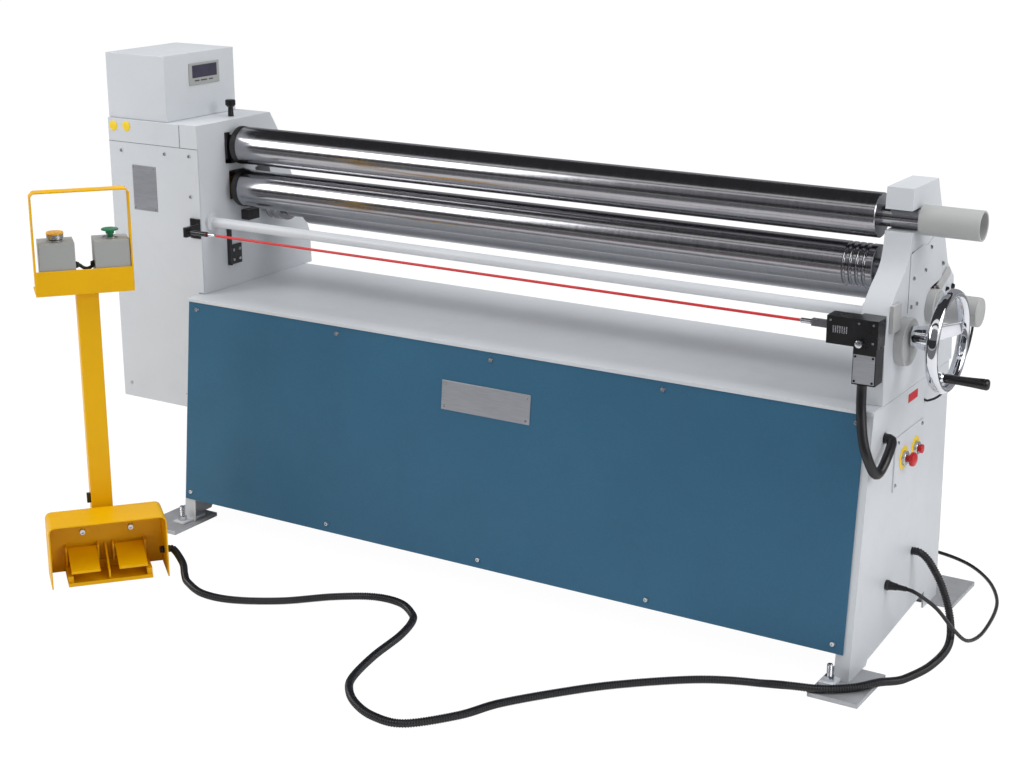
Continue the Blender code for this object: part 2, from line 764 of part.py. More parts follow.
piece(
    "left_end_frame",
    [
        plate(left_outline, LEFT_OUT, LEFT_IN),
        plate(leg_outline, LEFT_OUT, STAND_LEFT - GAP),
        box((CARRIER_OUT, carrier_front, carrier_low), (CARRIER_IN, carrier_rear, carrier_high)),
        box((CARRIER_OUT, carrier_front, carrier_low), (LEFT_OUT + OVERLAP, carrier_front + CARRIER_BAR, carrier_high)),
        box((CARRIER_OUT, carrier_front, carrier_low), (LEFT_OUT + OVERLAP, carrier_rear, carrier_low + CARRIER_BAR)),
    ],
    LIGHT,
    cuts=[
        box((past_left, -SWIVEL_RADIUS - GAP, SWIVEL_BOTTOM - GAP), (past_right, SWIVEL_RADIUS + GAP, SWIVEL_TOP + GAP)),
        pinch_window(past_left, past_right),
        plate(REAR_SLOT, past_left, past_right),
        screw_bore(LIFT_X_LEFT, -SCREW_BOTTOM, 0, SCREW_HOLE),
        stem_bore(LIFT_X_LEFT),
        rod((LEFT_IN - TIE_DEPTH - GAP, TIE_Y, TIE_Z), (past_right, TIE_Y, TIE_Z), TIE_RADIUS + GAP),
        rod((CARRIER_OUT - SHEET, 0, TOP_AXIS_Z), (LEFT_OUT - SHEET, 0, TOP_AXIS_Z), shaft_bore),
        rod((CARRIER_OUT - SHEET, 0, PINCH_AXIS_Z), (LEFT_OUT - SHEET, 0, PINCH_AXIS_Z), shaft_bore),
        rod((CARRIER_OUT - SHEET, PINION_Y, PINION_Z), (LEFT_OUT - SHEET, PINION_Y, PINION_Z), shaft_bore),
        rod((KNOB_X, KNOB_Y, FRAME_TOP - KNOB_HEIGHT / 2 - GAP), (KNOB_X, KNOB_Y, FRAME_TOP + SHEET),
            KNOB_STEM_RADIUS + RUNNING, 16),
    ],
)

seat = []
for i in range(13):
    angle = math.radians(90 - 15 * i)
    seat.append((SLOT_RADIUS * math.cos(angle), TOP_AXIS_Z + SLOT_RADIUS * math.sin(angle)))
RIGHT_OUTLINE_SHARES = [
    (-0.247, 0.783), (-0.262, 0.735), (-0.292, 0.690), (-0.338, 0.650), (-0.400, 0.620), (-0.480, 0.596),
    (-0.571, 0.574), (-0.700, 0.543), (-0.821, 0.508), (-0.925, 0.470), (-1.000, 0.425), (-1.046, 0.375),
    (-1.068, 0.320), (-1.071, 0.250), (-1.004, 0.034),
]
SHARE_WIDTH = -FRAME_FRONT
SHARE_HEIGHT = FRAME_TOP - TRAY_TOP
right_outline = [
    (-SLOT_RADIUS * 1.8, TOP_AXIS_Z + SLOT_RADIUS),
    (-SLOT_RADIUS * 1.6, FRAME_TOP + STAND_SHEET),
    (FRAME_TAIL_Y * 0.78, FRAME_TOP + STAND_SHEET),
    (FRAME_TAIL_Y, FRAME_STEP_Z),
    (FRAME_TAIL_Y * 1.46, TRAY_TOP + SHARE_HEIGHT * 0.545),
    (FRAME_TAIL_Y * 1.80, TRAY_TOP + SHARE_HEIGHT * 0.453),
    (REAR_Y * 0.95, TRAY_TOP + GAP),
    (SHARE_WIDTH * -1.0, TRAY_TOP + GAP),
]
for across, height in reversed(RIGHT_OUTLINE_SHARES):
    right_outline.append((SHARE_WIDTH * across, TRAY_TOP + SHARE_HEIGHT * height * 1.016))
for across, height in reversed(seat):
    right_outline.append((across, height))
past_in = RIGHT_IN - SHEET
past_out = RIGHT_OUT + SHEET
piece(
    "right_end_frame",
    [plate(right_outline, RIGHT_IN, RIGHT_OUT)],
    LIGHT,
    cuts=[
        pinch_window(past_in, past_out),
        plate(REAR_SLOT, past_in, past_out),
        screw_bore(LIFT_X_RIGHT, -SCREW_BOTTOM, 0, SCREW_HOLE),
        stem_bore(LIFT_X_RIGHT),
        rod((past_in, TIE_Y, TIE_Z), (RIGHT_IN + TIE_DEPTH + GAP, TIE_Y, TIE_Z), TIE_RADIUS + GAP),
        rod((WHEEL_SHAFT_START - GAP, WHEEL_Y, WHEEL_Z), (past_out, WHEEL_Y, WHEEL_Z), WHEEL_SHAFT_RADIUS + RUNNING),
    ],
)
cover_start = RIGHT_OUT + GAP
cover_end = cover_start + COVER_SHEET
window_edge = PINCH_HALF + SHEET * 2
cover_outline = [
    (-window_edge, PINCH_LOW - BLOCK_HALF * 2),
    (SENSOR_Y - SENSOR_FLANGE_RADIUS - SHEET, PINCH_LOW - BLOCK_HALF * 2),
    (SENSOR_Y - SENSOR_FLANGE_RADIUS - SHEET, SENSOR_Z + SENSOR_FLANGE_RADIUS + SHEET),
    on_lift(-BLOCK_HALF * 0.1, BLOCK_HALF * 1.5),
    on_lift(LIFT_TRAVEL + BLOCK_HALF * 1.4, BLOCK_HALF * 1.5),
    on_lift(LIFT_TRAVEL + BLOCK_HALF * 1.4, -BLOCK_HALF * 1.3),
    (window_edge, PINCH_HIGH + PINCH_TRAVEL + SHEET * 3),
    (-window_edge, PINCH_HIGH + PINCH_TRAVEL),
]
piece("right_end_cover", [plate(cover_outline, cover_start, cover_end)], LIGHT)

# Housing
shell_outline = [
    (FRAME_FRONT, HOUSING_BOTTOM),
    (FRAME_FRONT, FRAME_TOP),
    (FRAME_TAIL_Y, FRAME_TOP),
    (CHAMFER_Y, CHAMFER_Z),
    (REAR_Y, REAR_BEND_Z),
    (REAR_FOOT_Y, TRAY_TOP),
    (REAR_FOOT_Y, HOUSING_BOTTOM),
]
hollow_outline = [
    (FRAME_FRONT + SHEET, HOUSING_BOTTOM + SHEET),
    (FRAME_FRONT + SHEET, FRAME_TOP - SHEET),
    (FRAME_TAIL_Y - SHEET, FRAME_TOP - SHEET),
    (CHAMFER_Y - SHEET, CHAMFER_Z),
    (REAR_Y - SHEET, REAR_BEND_Z),
    (REAR_FOOT_Y - SHEET, TRAY_TOP),
    (REAR_FOOT_Y - SHEET, HOUSING_BOTTOM + SHEET),
]
shell_right = LEFT_OUT - GAP
piece(
    "drive_cover",
    [
        plate(shell_outline, HOUSING_LEFT, shell_right),
        box((shell_right - SHEET, FRAME_FRONT, TRAY_TOP + SHEET), (LEFT_IN, FRAME_FRONT + SHEET, FRAME_STEP_Z)),
        box((shell_right - SHEET, FRAME_FRONT, HOUSING_BOTTOM), (STAND_LEFT - GAP, FRAME_FRONT + SHEET, TRAY_TOP + SHEET * 2)),
    ],
    LIGHT,
    cuts=[plate(hollow_outline, HOUSING_LEFT + SHEET, shell_right + SHEET)],
)
piece(
    "control_box",
    [box((HOUSING_LEFT, BOX_FRONT, FRAME_TOP + GAP), (BOX_RIGHT, BOX_REAR, BOX_TOP))],
    LIGHT,
    cuts=[
        box((HOUSING_LEFT + SHEET, BOX_FRONT + SHEET, FRAME_TOP - SHEET), (BOX_RIGHT - SHEET, BOX_REAR - SHEET, BOX_TOP - SHEET)),
        box((BOX_RIGHT - SHEET * 2, DISPLAY_FRONT, DISPLAY_BOTTOM), (BOX_RIGHT + SHEET, DISPLAY_REAR, DISPLAY_TOP)),
    ],
)
lip = SHEET
piece(
    "display_unit",
    [
        box((BOX_RIGHT + GAP, DISPLAY_FRONT - lip, DISPLAY_BOTTOM - lip), (BOX_RIGHT + DISPLAY_PROUD, DISPLAY_REAR + lip, DISPLAY_TOP + lip)),
        box((BOX_RIGHT - DISPLAY_DEPTH, DISPLAY_FRONT + GAP, DISPLAY_BOTTOM + GAP), (BOX_RIGHT + GAP + OVERLAP, DISPLAY_REAR - GAP, DISPLAY_TOP - GAP)),
    ],
    BLACK,
)
piece(
    "lock_knob",
    [
        rod((KNOB_X, KNOB_Y, FRAME_TOP + GAP), (KNOB_X, KNOB_Y, FRAME_TOP + KNOB_HEIGHT / 2), KNOB_RADIUS * 0.6, 20),
        rod((KNOB_X, KNOB_Y, FRAME_TOP + KNOB_HEIGHT / 2 - OVERLAP), (KNOB_X, KNOB_Y, FRAME_TOP + KNOB_HEIGHT), KNOB_RADIUS, 20),
        rod((KNOB_X, KNOB_Y, FRAME_TOP - KNOB_HEIGHT / 2), (KNOB_X, KNOB_Y, FRAME_TOP + GAP + OVERLAP), KNOB_STEM_RADIUS, 16),
    ],
    BLACK,
    origin=(KNOB_X, KNOB_Y, FRAME_TOP),
)

# Tie bar and rolls
piece(
    "tie_bar",
    [turned(
        [
            (0, 0),
            (0, TIE_RADIUS),
            (TIE_DEPTH + GAP, TIE_RADIUS),
            (TIE_DEPTH + GAP, TIE_FLANGE_RADIUS),
            (TIE_DEPTH + TIE_FLANGE, TIE_FLANGE_RADIUS),
            (TIE_DEPTH + TIE_FLANGE, TIE_RADIUS),
            (RIGHT_IN - LEFT_IN + TIE_DEPTH * 2, TIE_RADIUS),
            (RIGHT_IN - LEFT_IN + TIE_DEPTH * 2, 0),
        ],
        (LEFT_IN - TIE_DEPTH, TIE_Y, TIE_Z),
        sides=24,
    )],
    LIGHT,
)


def roll_profile(left, right, left_radius, right_radius, grooves):
    """Journal, body and journal, as (x, radius) pairs."""
    profile = [(left, 0), (left, left_radius), (ROLL_START, left_radius), (ROLL_START, ROLL_RADIUS - ROLL_EDGE)]
    profile.append((ROLL_START + ROLL_EDGE, ROLL_RADIUS))
    for i in range(grooves):
        start = WIRE_GROOVE_START + i * WIRE_GROOVE_PITCH
        profile.append((start, ROLL_RADIUS))
        profile.append((start + WIRE_GROOVE_DEPTH, ROLL_RADIUS - WIRE_GROOVE_DEPTH))
        profile.append((start + WIRE_GROOVE_DEPTH * 2, ROLL_RADIUS))
    profile.append((ROLL_END - ROLL_EDGE, ROLL_RADIUS))
    profile.append((ROLL_END, ROLL_RADIUS - ROLL_EDGE))
    profile += [(ROLL_END, right_radius), (right, right_radius), (right, 0)]
    return profile


top_profile = roll_profile(TOP_JOURNAL_LEFT, HANDLE_START, JOURNAL_RADIUS, SLOT_JOURNAL_RADIUS, 0)
piece(
    "top_roll",
    [turned(top_profile, (0, 0, TOP_AXIS_Z))],
    STEEL,
    origin=(SWIVEL_X, 0, TOP_AXIS_Z),
)
handle_inner = HANDLE_START + HANDLE_COLLAR
piece(
    "top_roll_handle",
    [turned(
        [
            (HANDLE_START + GAP, 0),
            (HANDLE_START + GAP, HANDLE_RADIUS),
            (HANDLE_END, HANDLE_RADIUS),
            (HANDLE_END, HANDLE_RADIUS - HANDLE_WALL),
            (handle_inner, HANDLE_RADIUS - HANDLE_WALL),
            (handle_inner, 0),
        ],
        (0, 0, TOP_AXIS_Z),
        sides=28,
    )],
    GREY,
    origin=(SWIVEL_X, 0, TOP_AXIS_Z),
)
piece(
    "top_roll_left_bearing",
    [rod((SWIVEL_X, 0, SWIVEL_BOTTOM), (SWIVEL_X, 0, SWIVEL_TOP), SWIVEL_RADIUS, 28)],
    DARK_STEEL,
    origin=(SWIVEL_X, 0, TOP_AXIS_Z),
    cuts=[rod((LEFT_OUT - SHEET, 0, TOP_AXIS_Z), (LEFT_IN + SHEET, 0, TOP_AXIS_Z), JOURNAL_RADIUS + RUNNING, 24)],
)
journal_end = RIGHT_OUT - SHEET * 4
pinch_profile = roll_profile(TOP_JOURNAL_LEFT, journal_end, JOURNAL_RADIUS, JOURNAL_RADIUS, WIRE_GROOVES)
piece("pinch_roll", [turned(pinch_profile, (0, 0, PINCH_AXIS_Z))], STEEL, origin=(0, 0, PINCH_AXIS_Z))
collar_step = (REAR_COLLAR_START + ROLL_END) / 4
rear_profile = [
    (TOP_JOURNAL_LEFT, 0),
    (TOP_JOURNAL_LEFT, JOURNAL_RADIUS),
    (-ROLL_END, JOURNAL_RADIUS),
    (-ROLL_END, REAR_COLLAR_RADIUS),
]
for i in range(2):
    start = collar_step * (2 * i + 0.5) - ROLL_END
    rear_profile.append((start, REAR_COLLAR_RADIUS))
    rear_profile.append((start + collar_step / 2, REAR_COLLAR_RADIUS - REAR_COLLAR_GROOVE))
    rear_profile.append((start + collar_step, REAR_COLLAR_RADIUS))
rear_profile += [
    (REAR_COLLAR_START, REAR_COLLAR_RADIUS),
    (REAR_COLLAR_START, REAR_SLEEVE_RADIUS),
    (REAR_BODY_START, REAR_SLEEVE_RADIUS),
    (REAR_BODY_START, ROLL_RADIUS - ROLL_EDGE),
    (REAR_BODY_START + ROLL_EDGE, ROLL_RADIUS),
    (ROLL_END - ROLL_EDGE, ROLL_RADIUS),
    (ROLL_END, ROLL_RADIUS - ROLL_EDGE),
    (ROLL_END, JOURNAL_RADIUS),
    (journal_end, JOURNAL_RADIUS),
    (journal_end, 0),
]
piece("rear_roll", [turned(rear_profile, (0, REAR_AXIS_Y, REAR_AXIS_Z))], STEEL, origin=(0, REAR_AXIS_Y, REAR_AXIS_Z))

# Bearing blocks, lift screws and cross shaft
for side, middle, low_x, high_x in (
    ("left", LIFT_X_LEFT, LEFT_OUT + SHEET, LEFT_IN - SHEET),
    ("right", LIFT_X_RIGHT, RIGHT_IN + SHEET, RIGHT_OUT - GAP),
):
    journal_bore = JOURNAL_RADIUS + RUNNING
    piece(
        f"pinch_block_{side}",
        [
            box((low_x, -PINCH_HALF, PINCH_LOW), (high_x, PINCH_HALF, PINCH_HIGH)),
            rod((middle, 0, PINCH_LOW - STEM_LENGTH), (middle, 0, PINCH_LOW + OVERLAP), STEM_RADIUS, 16),
        ],
        BRONZE,
        origin=(middle, 0, PINCH_AXIS_Z),
        cuts=[rod((low_x - SHEET, 0, PINCH_AXIS_Z), (high_x + SHEET, 0, PINCH_AXIS_Z), journal_bore, 24)],
    )
    neck = BLOCK_HALF / 6
    piece(
        f"rear_block_{side}",
        [plate(slanted(-BLOCK_HALF, BLOCK_HALF, BLOCK_HALF), low_x, high_x)],
        BRONZE,
        origin=(middle, REAR_AXIS_Y, REAR_AXIS_Z),
        cuts=[
            rod((low_x - SHEET, REAR_AXIS_Y, REAR_AXIS_Z), (high_x + SHEET, REAR_AXIS_Y, REAR_AXIS_Z), journal_bore, 24),
            screw_bore(middle, -BLOCK_HALF * 2, -BLOCK_HALF + neck, SCREW_RADIUS + RUNNING),
        ],
    )
    piece(
        f"lift_screw_{side}",
        [screw_bore(middle, -SCREW_BOTTOM, -BLOCK_HALF + neck - GAP, SCREW_RADIUS)],
        STEEL,
        origin=at_x(middle, on_lift(-BLOCK_HALF, 0)),
    )
piece(
    "cross_shaft",
    [
        rod((CROSS_END_LEFT, CROSS_Y, CROSS_Z), (CROSS_END_RIGHT - GAP, CROSS_Y, CROSS_Z), CROSS_RADIUS),
        rod((LIFT_X_LEFT - RING_HALF_WIDTH, CROSS_Y, CROSS_Z), (LIFT_X_LEFT + RING_HALF_WIDTH, CROSS_Y, CROSS_Z), RING_RADIUS),
        rod((LIFT_X_RIGHT - RING_HALF_WIDTH, CROSS_Y, CROSS_Z), (LIFT_X_RIGHT + RING_HALF_WIDTH, CROSS_Y, CROSS_Z), RING_RADIUS),
    ],
    DARK_STEEL,
    origin=(0, CROSS_Y, CROSS_Z),
)

# Drive train
def gear_outline(teeth, centre, turn):
    """A spur gear's (y, z) outline with straight tooth flanks."""
    pitch = GEAR_MODULE * teeth / 2
    outline = []
    for tooth in range(teeth):
        for share, reach in ((-0.29, -1.25), (-0.11, 0.85), (0.11, 0.85), (0.29, -1.25)):
            angle = turn + (tooth + share) * math.tau / teeth
            radius = pitch + reach * GEAR_MODULE
            outline.append((centre[0] + radius * math.cos(angle), centre[1] + radius * math.sin(angle)))
    return outline


def gear(name, teeth, centre, turn, shaft_start):
    middle = (0, *centre)
    piece(
        name,
        [
            plate(gear_outline(teeth, centre, turn), GEAR_START, GEAR_END),
            rod((shaft_start, *centre), (GEAR_HUB_END, *centre), GEAR_SHAFT_RADIUS),
        ],
        DARK_STEEL,
        origin=middle,
    )


half_tooth = math.pi / GEAR_TEETH
to_pinion = math.atan2(PINION_Z - PINCH_AXIS_Z, PINION_Y)
gear("top_roll_gear", GEAR_TEETH, (0, TOP_AXIS_Z), half_tooth - math.pi / 2, CARRIER_OUT)
gear("pinch_roll_gear", GEAR_TEETH, (0, PINCH_AXIS_Z), math.pi / 2, CARRIER_OUT)
pitch_tooth = math.tau / GEAR_TEETH
phase = (to_pinion - math.pi / 2) / pitch_tooth
phase -= math.floor(phase)
gear(
    "drive_pinion",
    PINION_TEETH,
    (PINION_Y, PINION_Z),
    to_pinion + math.pi + (phase + 0.5) * pitch_tooth * 2,
    CARRIER_OUT - SHEET * 2,
)
motor_x = (HOUSING_LEFT + CARRIER_OUT) / 2 - SHEET
motor_flange = CARRIER_OUT - GAP
piece(
    "gear_motor",
    [
        box((motor_x - MOTOR_RADIUS * 0.9, PINION_Y - MOTOR_RADIUS, PINION_Z - MOTOR_RADIUS),
            (motor_flange, PINION_Y + MOTOR_RADIUS, PINION_Z + MOTOR_RADIUS)),
        rod((motor_x, PINION_Y, MOTOR_BOTTOM), (motor_x, PINION_Y, PINION_Z - MOTOR_RADIUS + OVERLAP), MOTOR_RADIUS * 0.95, 24),
    ],
    GREY,
    cuts=[rod((motor_flange - CARRIER_BAR, PINION_Y, PINION_Z), (motor_flange + SHEET, PINION_Y, PINION_Z), GEAR_SHAFT_RADIUS + RUNNING)],
)

# Handwheel
wheel_centre = Vector((WHEEL_X, WHEEL_Y, WHEEL_Z))
rim_points = []
for i in range(32):
    angle = math.tau * i / 32
    rim_points.append((WHEEL_X, WHEEL_Y + WHEEL_RADIUS * math.cos(angle), WHEEL_Z + WHEEL_RADIUS * math.sin(angle)))


def ring(points, radius, rings=2):
    """A round wire that closes on itself."""
    curve = bpy.data.curves.new("ring", "CURVE")
    curve.dimensions = "3D"
    curve.bevel_depth = radius
    curve.bevel_resolution = rings
    spline = curve.splines.new("POLY")
    spline.points.add(len(points) - 1)
    for point, place in zip(spline.points, points):
        point.co = (*place, 1)
    spline.use_cyclic_u = True
    obj = temporary(curve)
    bpy.context.view_layer.update()
    return from_object(obj)


to_grip = math.atan2(GRIP_Z - WHEEL_Z, GRIP_Y - WHEEL_Y)
spokes = []
for i in range(3):
    angle = to_grip + i * math.tau / 3
    direction = Vector((0, math.cos(angle), math.sin(angle)))
    hub_point = Vector(((HUB_START + HUB_END) / 2, WHEEL_Y, WHEEL_Z)) + direction * (HUB_RADIUS - SPOKE_REACH)
    spokes.append(rod(hub_point, wheel_centre + direction * (WHEEL_RADIUS - RIM_RADIUS / 3), SPOKE_RADIUS, 10))
piece(
    "handwheel",
    [
        ring(rim_points, RIM_RADIUS, 1),
        *spokes,
        rod((HUB_START, WHEEL_Y, WHEEL_Z), (HUB_END, WHEEL_Y, WHEEL_Z), HUB_RADIUS, 24),
        rod((WHEEL_SHAFT_START, WHEEL_Y, WHEEL_Z), (HUB_START + OVERLAP, WHEEL_Y, WHEEL_Z), WHEEL_SHAFT_RADIUS),
        rod((WHEEL_X - GRIP_PIN_RADIUS * 4, GRIP_Y, GRIP_Z), (GRIP_END - GRIP_RADIUS, GRIP_Y, GRIP_Z), GRIP_PIN_RADIUS, 16),
    ],
    CHROME,
    origin=wheel_centre,
)
piece(
    "handwheel_grip",
    [turned(
        [
            (0, 0),
            (0, GRIP_RADIUS * 0.8),
            (GRIP_RADIUS * 0.5, GRIP_RADIUS),
            (GRIP_END - GRIP_START - GRIP_RADIUS * 0.5, GRIP_RADIUS),
            (GRIP_END - GRIP_START, GRIP_RADIUS * 0.7),
            (GRIP_END - GRIP_START, 0),
        ],
        (GRIP_START, GRIP_Y, GRIP_Z),
        sides=24,
    )],
    BLACK,
    origin=(GRIP_START, GRIP_Y, GRIP_Z),
    cuts=[rod((GRIP_START - SHEET, GRIP_Y, GRIP_Z), (GRIP_END - GRIP_RADIUS + GAP, GRIP_Y, GRIP_Z), GRIP_PIN_RADIUS + RUNNING, 16)],
)
piece(
    "handwheel_bearing",
    [rod(
        (cover_start, WHEEL_Y, WHEEL_Z - FLANGE_DISC_DROP),
        (FLANGE_DISC_END, WHEEL_Y, WHEEL_Z - FLANGE_DISC_DROP),
        FLANGE_DISC_RADIUS,
        24,
    )],
    GREY,
    cuts=[
        rod((RIGHT_OUT - SHEET, WHEEL_Y, WHEEL_Z), (HUB_START, WHEEL_Y, WHEEL_Z), WHEEL_SHAFT_RADIUS + RUNNING),
        plate([(y + (GAP if y < 0 else -GAP), z - GAP) for y, z in cover_outline], RIGHT_OUT, cover_end + GAP),
    ],
)
cable_y = SENSOR_Y
cable_x = SENSOR_END - SENSOR_RADIUS / 2
cable_exit = SENSOR_Z - SENSOR_RADIUS
piece(
    "position_sensor",
    [
        rod((cover_start, SENSOR_Y, SENSOR_Z), (SENSOR_FLANGE_END, SENSOR_Y, SENSOR_Z), SENSOR_FLANGE_RADIUS, 24),
        rod((SENSOR_FLANGE_END - OVERLAP, SENSOR_Y, SENSOR_Z), (SENSOR_END, SENSOR_Y, SENSOR_Z), SENSOR_RADIUS, 24),
    ],
    GREY,
)
SENSOR_ROUTE_SHARES = [(0, 0), (-0.02, -0.10), (-0.10, -0.32), (-0.30, -0.62), (-0.62, -0.90), (-0.88, -1), (-1, -1)]
sensor_drop = cable_exit - GAP - CABLE_ENTRY_Z
sensor_back = cable_x - WALL_MIDDLE
sensor_points = [
    (cable_x + sensor_back * across, cable_y + (CABLE_ENTRY_Y - cable_y) * -down, cable_exit - GAP + sensor_drop * down)
    for across, down in SENSOR_ROUTE_SHARES
]
piece("sensor_cable", [tube(smooth_route(sensor_points, 22), SENSOR_CORD_RADIUS, 1)], BLACK)

# Trip rope and its switch
rope_low = ROPE_Z - TIE_RADIUS
piece(
    "rope_anchor",
    [
        box((ANCHOR_LEFT, FRAME_FRONT - SHEET * 2, ROPE_Z - TIE_RADIUS * 2), (LEFT_IN, FRAME_FRONT - GAP, ROPE_Z + TIE_RADIUS * 2)),
        box((LEFT_IN - SHEET * 4, ROPE_Y - TIE_RADIUS, rope_low), (LEFT_IN, FRAME_FRONT - SHEET, ROPE_Z + TIE_RADIUS)),
        rod((LEFT_IN - OVERLAP, ROPE_Y, ROPE_Z), (ROPE_LEFT, ROPE_Y, ROPE_Z), TIE_RADIUS / 2, 16),
    ],
    BLACK,
    cuts=[rod((ROPE_LEFT - ROPE_GRIP * 2, ROPE_Y, ROPE_Z), (ROPE_LEFT + SHEET, ROPE_Y, ROPE_Z), ROPE_RADIUS + GAP, 16)],
)
piece(
    "trip_rope",
    [rod((ROPE_LEFT - ROPE_GRIP, ROPE_Y, ROPE_Z), (ROPE_RIGHT, ROPE_Y, ROPE_Z), ROPE_RADIUS, 16)],
    RED,
    origin=(ROPE_RIGHT, ROPE_Y, ROPE_Z),
)
stem_end = SWITCH_LEFT + BLOCK_HALF
piece(
    "rope_switch_rod",
    [
        box((CLEVIS_LEFT + GAP, ROPE_Y - TIE_RADIUS / 2, ROPE_Z - TIE_RADIUS * 0.6), (SWITCH_LEFT - SHEET * 2, ROPE_Y + TIE_RADIUS / 2, ROPE_Z + TIE_RADIUS * 0.6)),
        rod((SWITCH_LEFT - SHEET * 2 - OVERLAP, ROPE_Y, ROPE_Z), (stem_end, ROPE_Y, ROPE_Z), SWITCH_STEM_RADIUS, 16),
    ],
    STEEL,
    origin=(SWITCH_LEFT, ROPE_Y, ROPE_Z),
)
switch_front = ROPE_Y - SWITCH_HALF_Y
switch_rear = ROPE_Y + SWITCH_HALF_Y
reset_x = SWITCH_BOX_LEFT + RESET_RADIUS * 1.6
piece(
    "rope_switch_body",
    [
        box((SWITCH_LEFT, switch_front, SWITCH_BOTTOM), (SWITCH_RIGHT, switch_rear, SWITCH_TOP)),
        box((SWITCH_BOX_LEFT, switch_front, SWITCH_BOX_BOTTOM), (SWITCH_BOX_RIGHT, switch_rear, SWITCH_BOTTOM + OVERLAP)),
        box((SWITCH_BOX_LEFT, switch_rear - OVERLAP, SWITCH_BOTTOM), (SWITCH_BOX_RIGHT - SHEET, -SHARE_WIDTH * 1.0715 - GAP, SWITCH_TOP)),
    ],
    BLACK,
    cuts=[
        rod((SWITCH_LEFT - SHEET, ROPE_Y, ROPE_Z), (stem_end + GAP, ROPE_Y, ROPE_Z), SWITCH_STEM_RADIUS + RUNNING, 16),
        rod((reset_x, switch_front - SHEET, SWITCH_BOTTOM + RESET_RADIUS), (reset_x, ROPE_Y, SWITCH_BOTTOM + RESET_RADIUS),
            RESET_RADIUS * 0.5 + RUNNING, 16),
    ],
)
piece(
    "rope_switch_reset",
    [
        rod((reset_x, switch_front - SHEET * 4, SWITCH_BOTTOM + RESET_RADIUS), (reset_x, switch_front - RESET_TRAVEL - GAP, SWITCH_BOTTOM + RESET_RADIUS), RESET_RADIUS, 20),
        rod((reset_x, switch_front - RESET_TRAVEL - OVERLAP, SWITCH_BOTTOM + RESET_RADIUS), (reset_x, ROPE_Y - RESET_TRAVEL - GAP, SWITCH_BOTTOM + RESET_RADIUS), RESET_RADIUS * 0.5, 16),
    ],
    GREY,
    origin=(reset_x, switch_front, SWITCH_BOTTOM + RESET_RADIUS),
)
conduit_y = ROPE_Y - CONDUIT_RADIUS * 0.95
conduit_points = [
    (CONDUIT_X, conduit_y, SWITCH_BOX_BOTTOM - CLEAR),
    (CONDUIT_X, conduit_y, SWITCH_BOX_BOTTOM - CONDUIT_RADIUS * 1.5),
    (CONDUIT_X + CONDUIT_RADIUS * 0.3, conduit_y - CONDUIT_RADIUS * 0.5, SWITCH_BOX_BOTTOM - CONDUIT_RADIUS * 5),
    (CONDUIT_X + CONDUIT_RADIUS * 1.4, conduit_y - CONDUIT_RADIUS * 1.8, SWITCH_BOX_BOTTOM - CONDUIT_RADIUS * 10),
    (CONDUIT_X + CONDUIT_RADIUS * 2.5, conduit_y - CONDUIT_RADIUS * 2, SWITCH_BOX_BOTTOM - CONDUIT_RADIUS * 13.5),
    (CONDUIT_X + CONDUIT_RADIUS * 3.7, conduit_y - CONDUIT_RADIUS * 0.6, CONDUIT_LOW + CONDUIT_RADIUS * 0.9),
    (CONDUIT_X + CONDUIT_RADIUS * 4.2, conduit_y + CONDUIT_RADIUS * 1.3, CONDUIT_LOW + CONDUIT_RADIUS * 0.7),
    (CONDUIT_X + CONDUIT_RADIUS * 4.5, conduit_y + CONDUIT_RADIUS * 3.9, CONDUIT_LOW + CONDUIT_RADIUS * 2.9),
    (STAND_RIGHT + CONDUIT_RADIUS * 1.6, CONDUIT_ENTRY_Y - CONDUIT_RADIUS * 0.3, CONDUIT_ENTRY_Z - CONDUIT_RADIUS * 0.2),
    (WALL_MIDDLE, CONDUIT_ENTRY_Y, CONDUIT_ENTRY_Z),
]
piece("switch_conduit", [tube(smooth_route(conduit_points, 20), CONDUIT_RADIUS)], RUBBER)

# Switch plate and its two buttons
plate_start = STAND_RIGHT + GAP
plate_end = plate_start + SHEET
stop_face = plate_end + COLLAR_HEIGHT
piece(
    "electrical_cover",
    [
        box((plate_start, PLATE_FRONT, PLATE_BOTTOM), (plate_end, PLATE_REAR, PLATE_TOP)),
        rod((plate_end - OVERLAP, STOP_Y, STOP_Z), (stop_face, STOP_Y, STOP_Z), BUTTON_STEM_RADIUS * 1.9, 24),
        rod((plate_end - OVERLAP, SIDE_Y, SIDE_Z), (stop_face, SIDE_Y, SIDE_Z), SIDE_RADIUS * 1.25, 24),
    ],
    LIGHT,
    cuts=[
        rod((STAND_RIGHT, STOP_Y, STOP_Z), (stop_face + SHEET, STOP_Y, STOP_Z), BUTTON_STEM_RADIUS + RUNNING, 20),
        rod((STAND_RIGHT, SIDE_Y, SIDE_Z), (stop_face + SHEET, SIDE_Y, SIDE_Z), BUTTON_STEM_RADIUS + RUNNING, 20),
    ],
)
stop_back = stop_face + STOP_TRAVEL + SHEET
piece(
    "emergency_stop_button",
    [
        turned(
            [
                (0, 0),
                (0, STOP_RADIUS * 0.75),
                (STOP_HEIGHT * 0.35, STOP_RADIUS),
                (STOP_HEIGHT * 0.65, STOP_RADIUS * 0.95),
                (STOP_HEIGHT * 0.9, STOP_RADIUS * 0.7),
                (STOP_HEIGHT, STOP_RADIUS * 0.3),
                (STOP_HEIGHT, 0),
            ],
            (stop_back, STOP_Y, STOP_Z),
            sides=20,
        ),
        rod((STAND_RIGHT - STEM_INSIDE, STOP_Y, STOP_Z), (stop_back + OVERLAP, STOP_Y, STOP_Z), BUTTON_STEM_RADIUS, 20),
    ],
    RED,
    origin=(stop_face, STOP_Y, STOP_Z),
)
side_back = stop_face + SIDE_TRAVEL + GAP
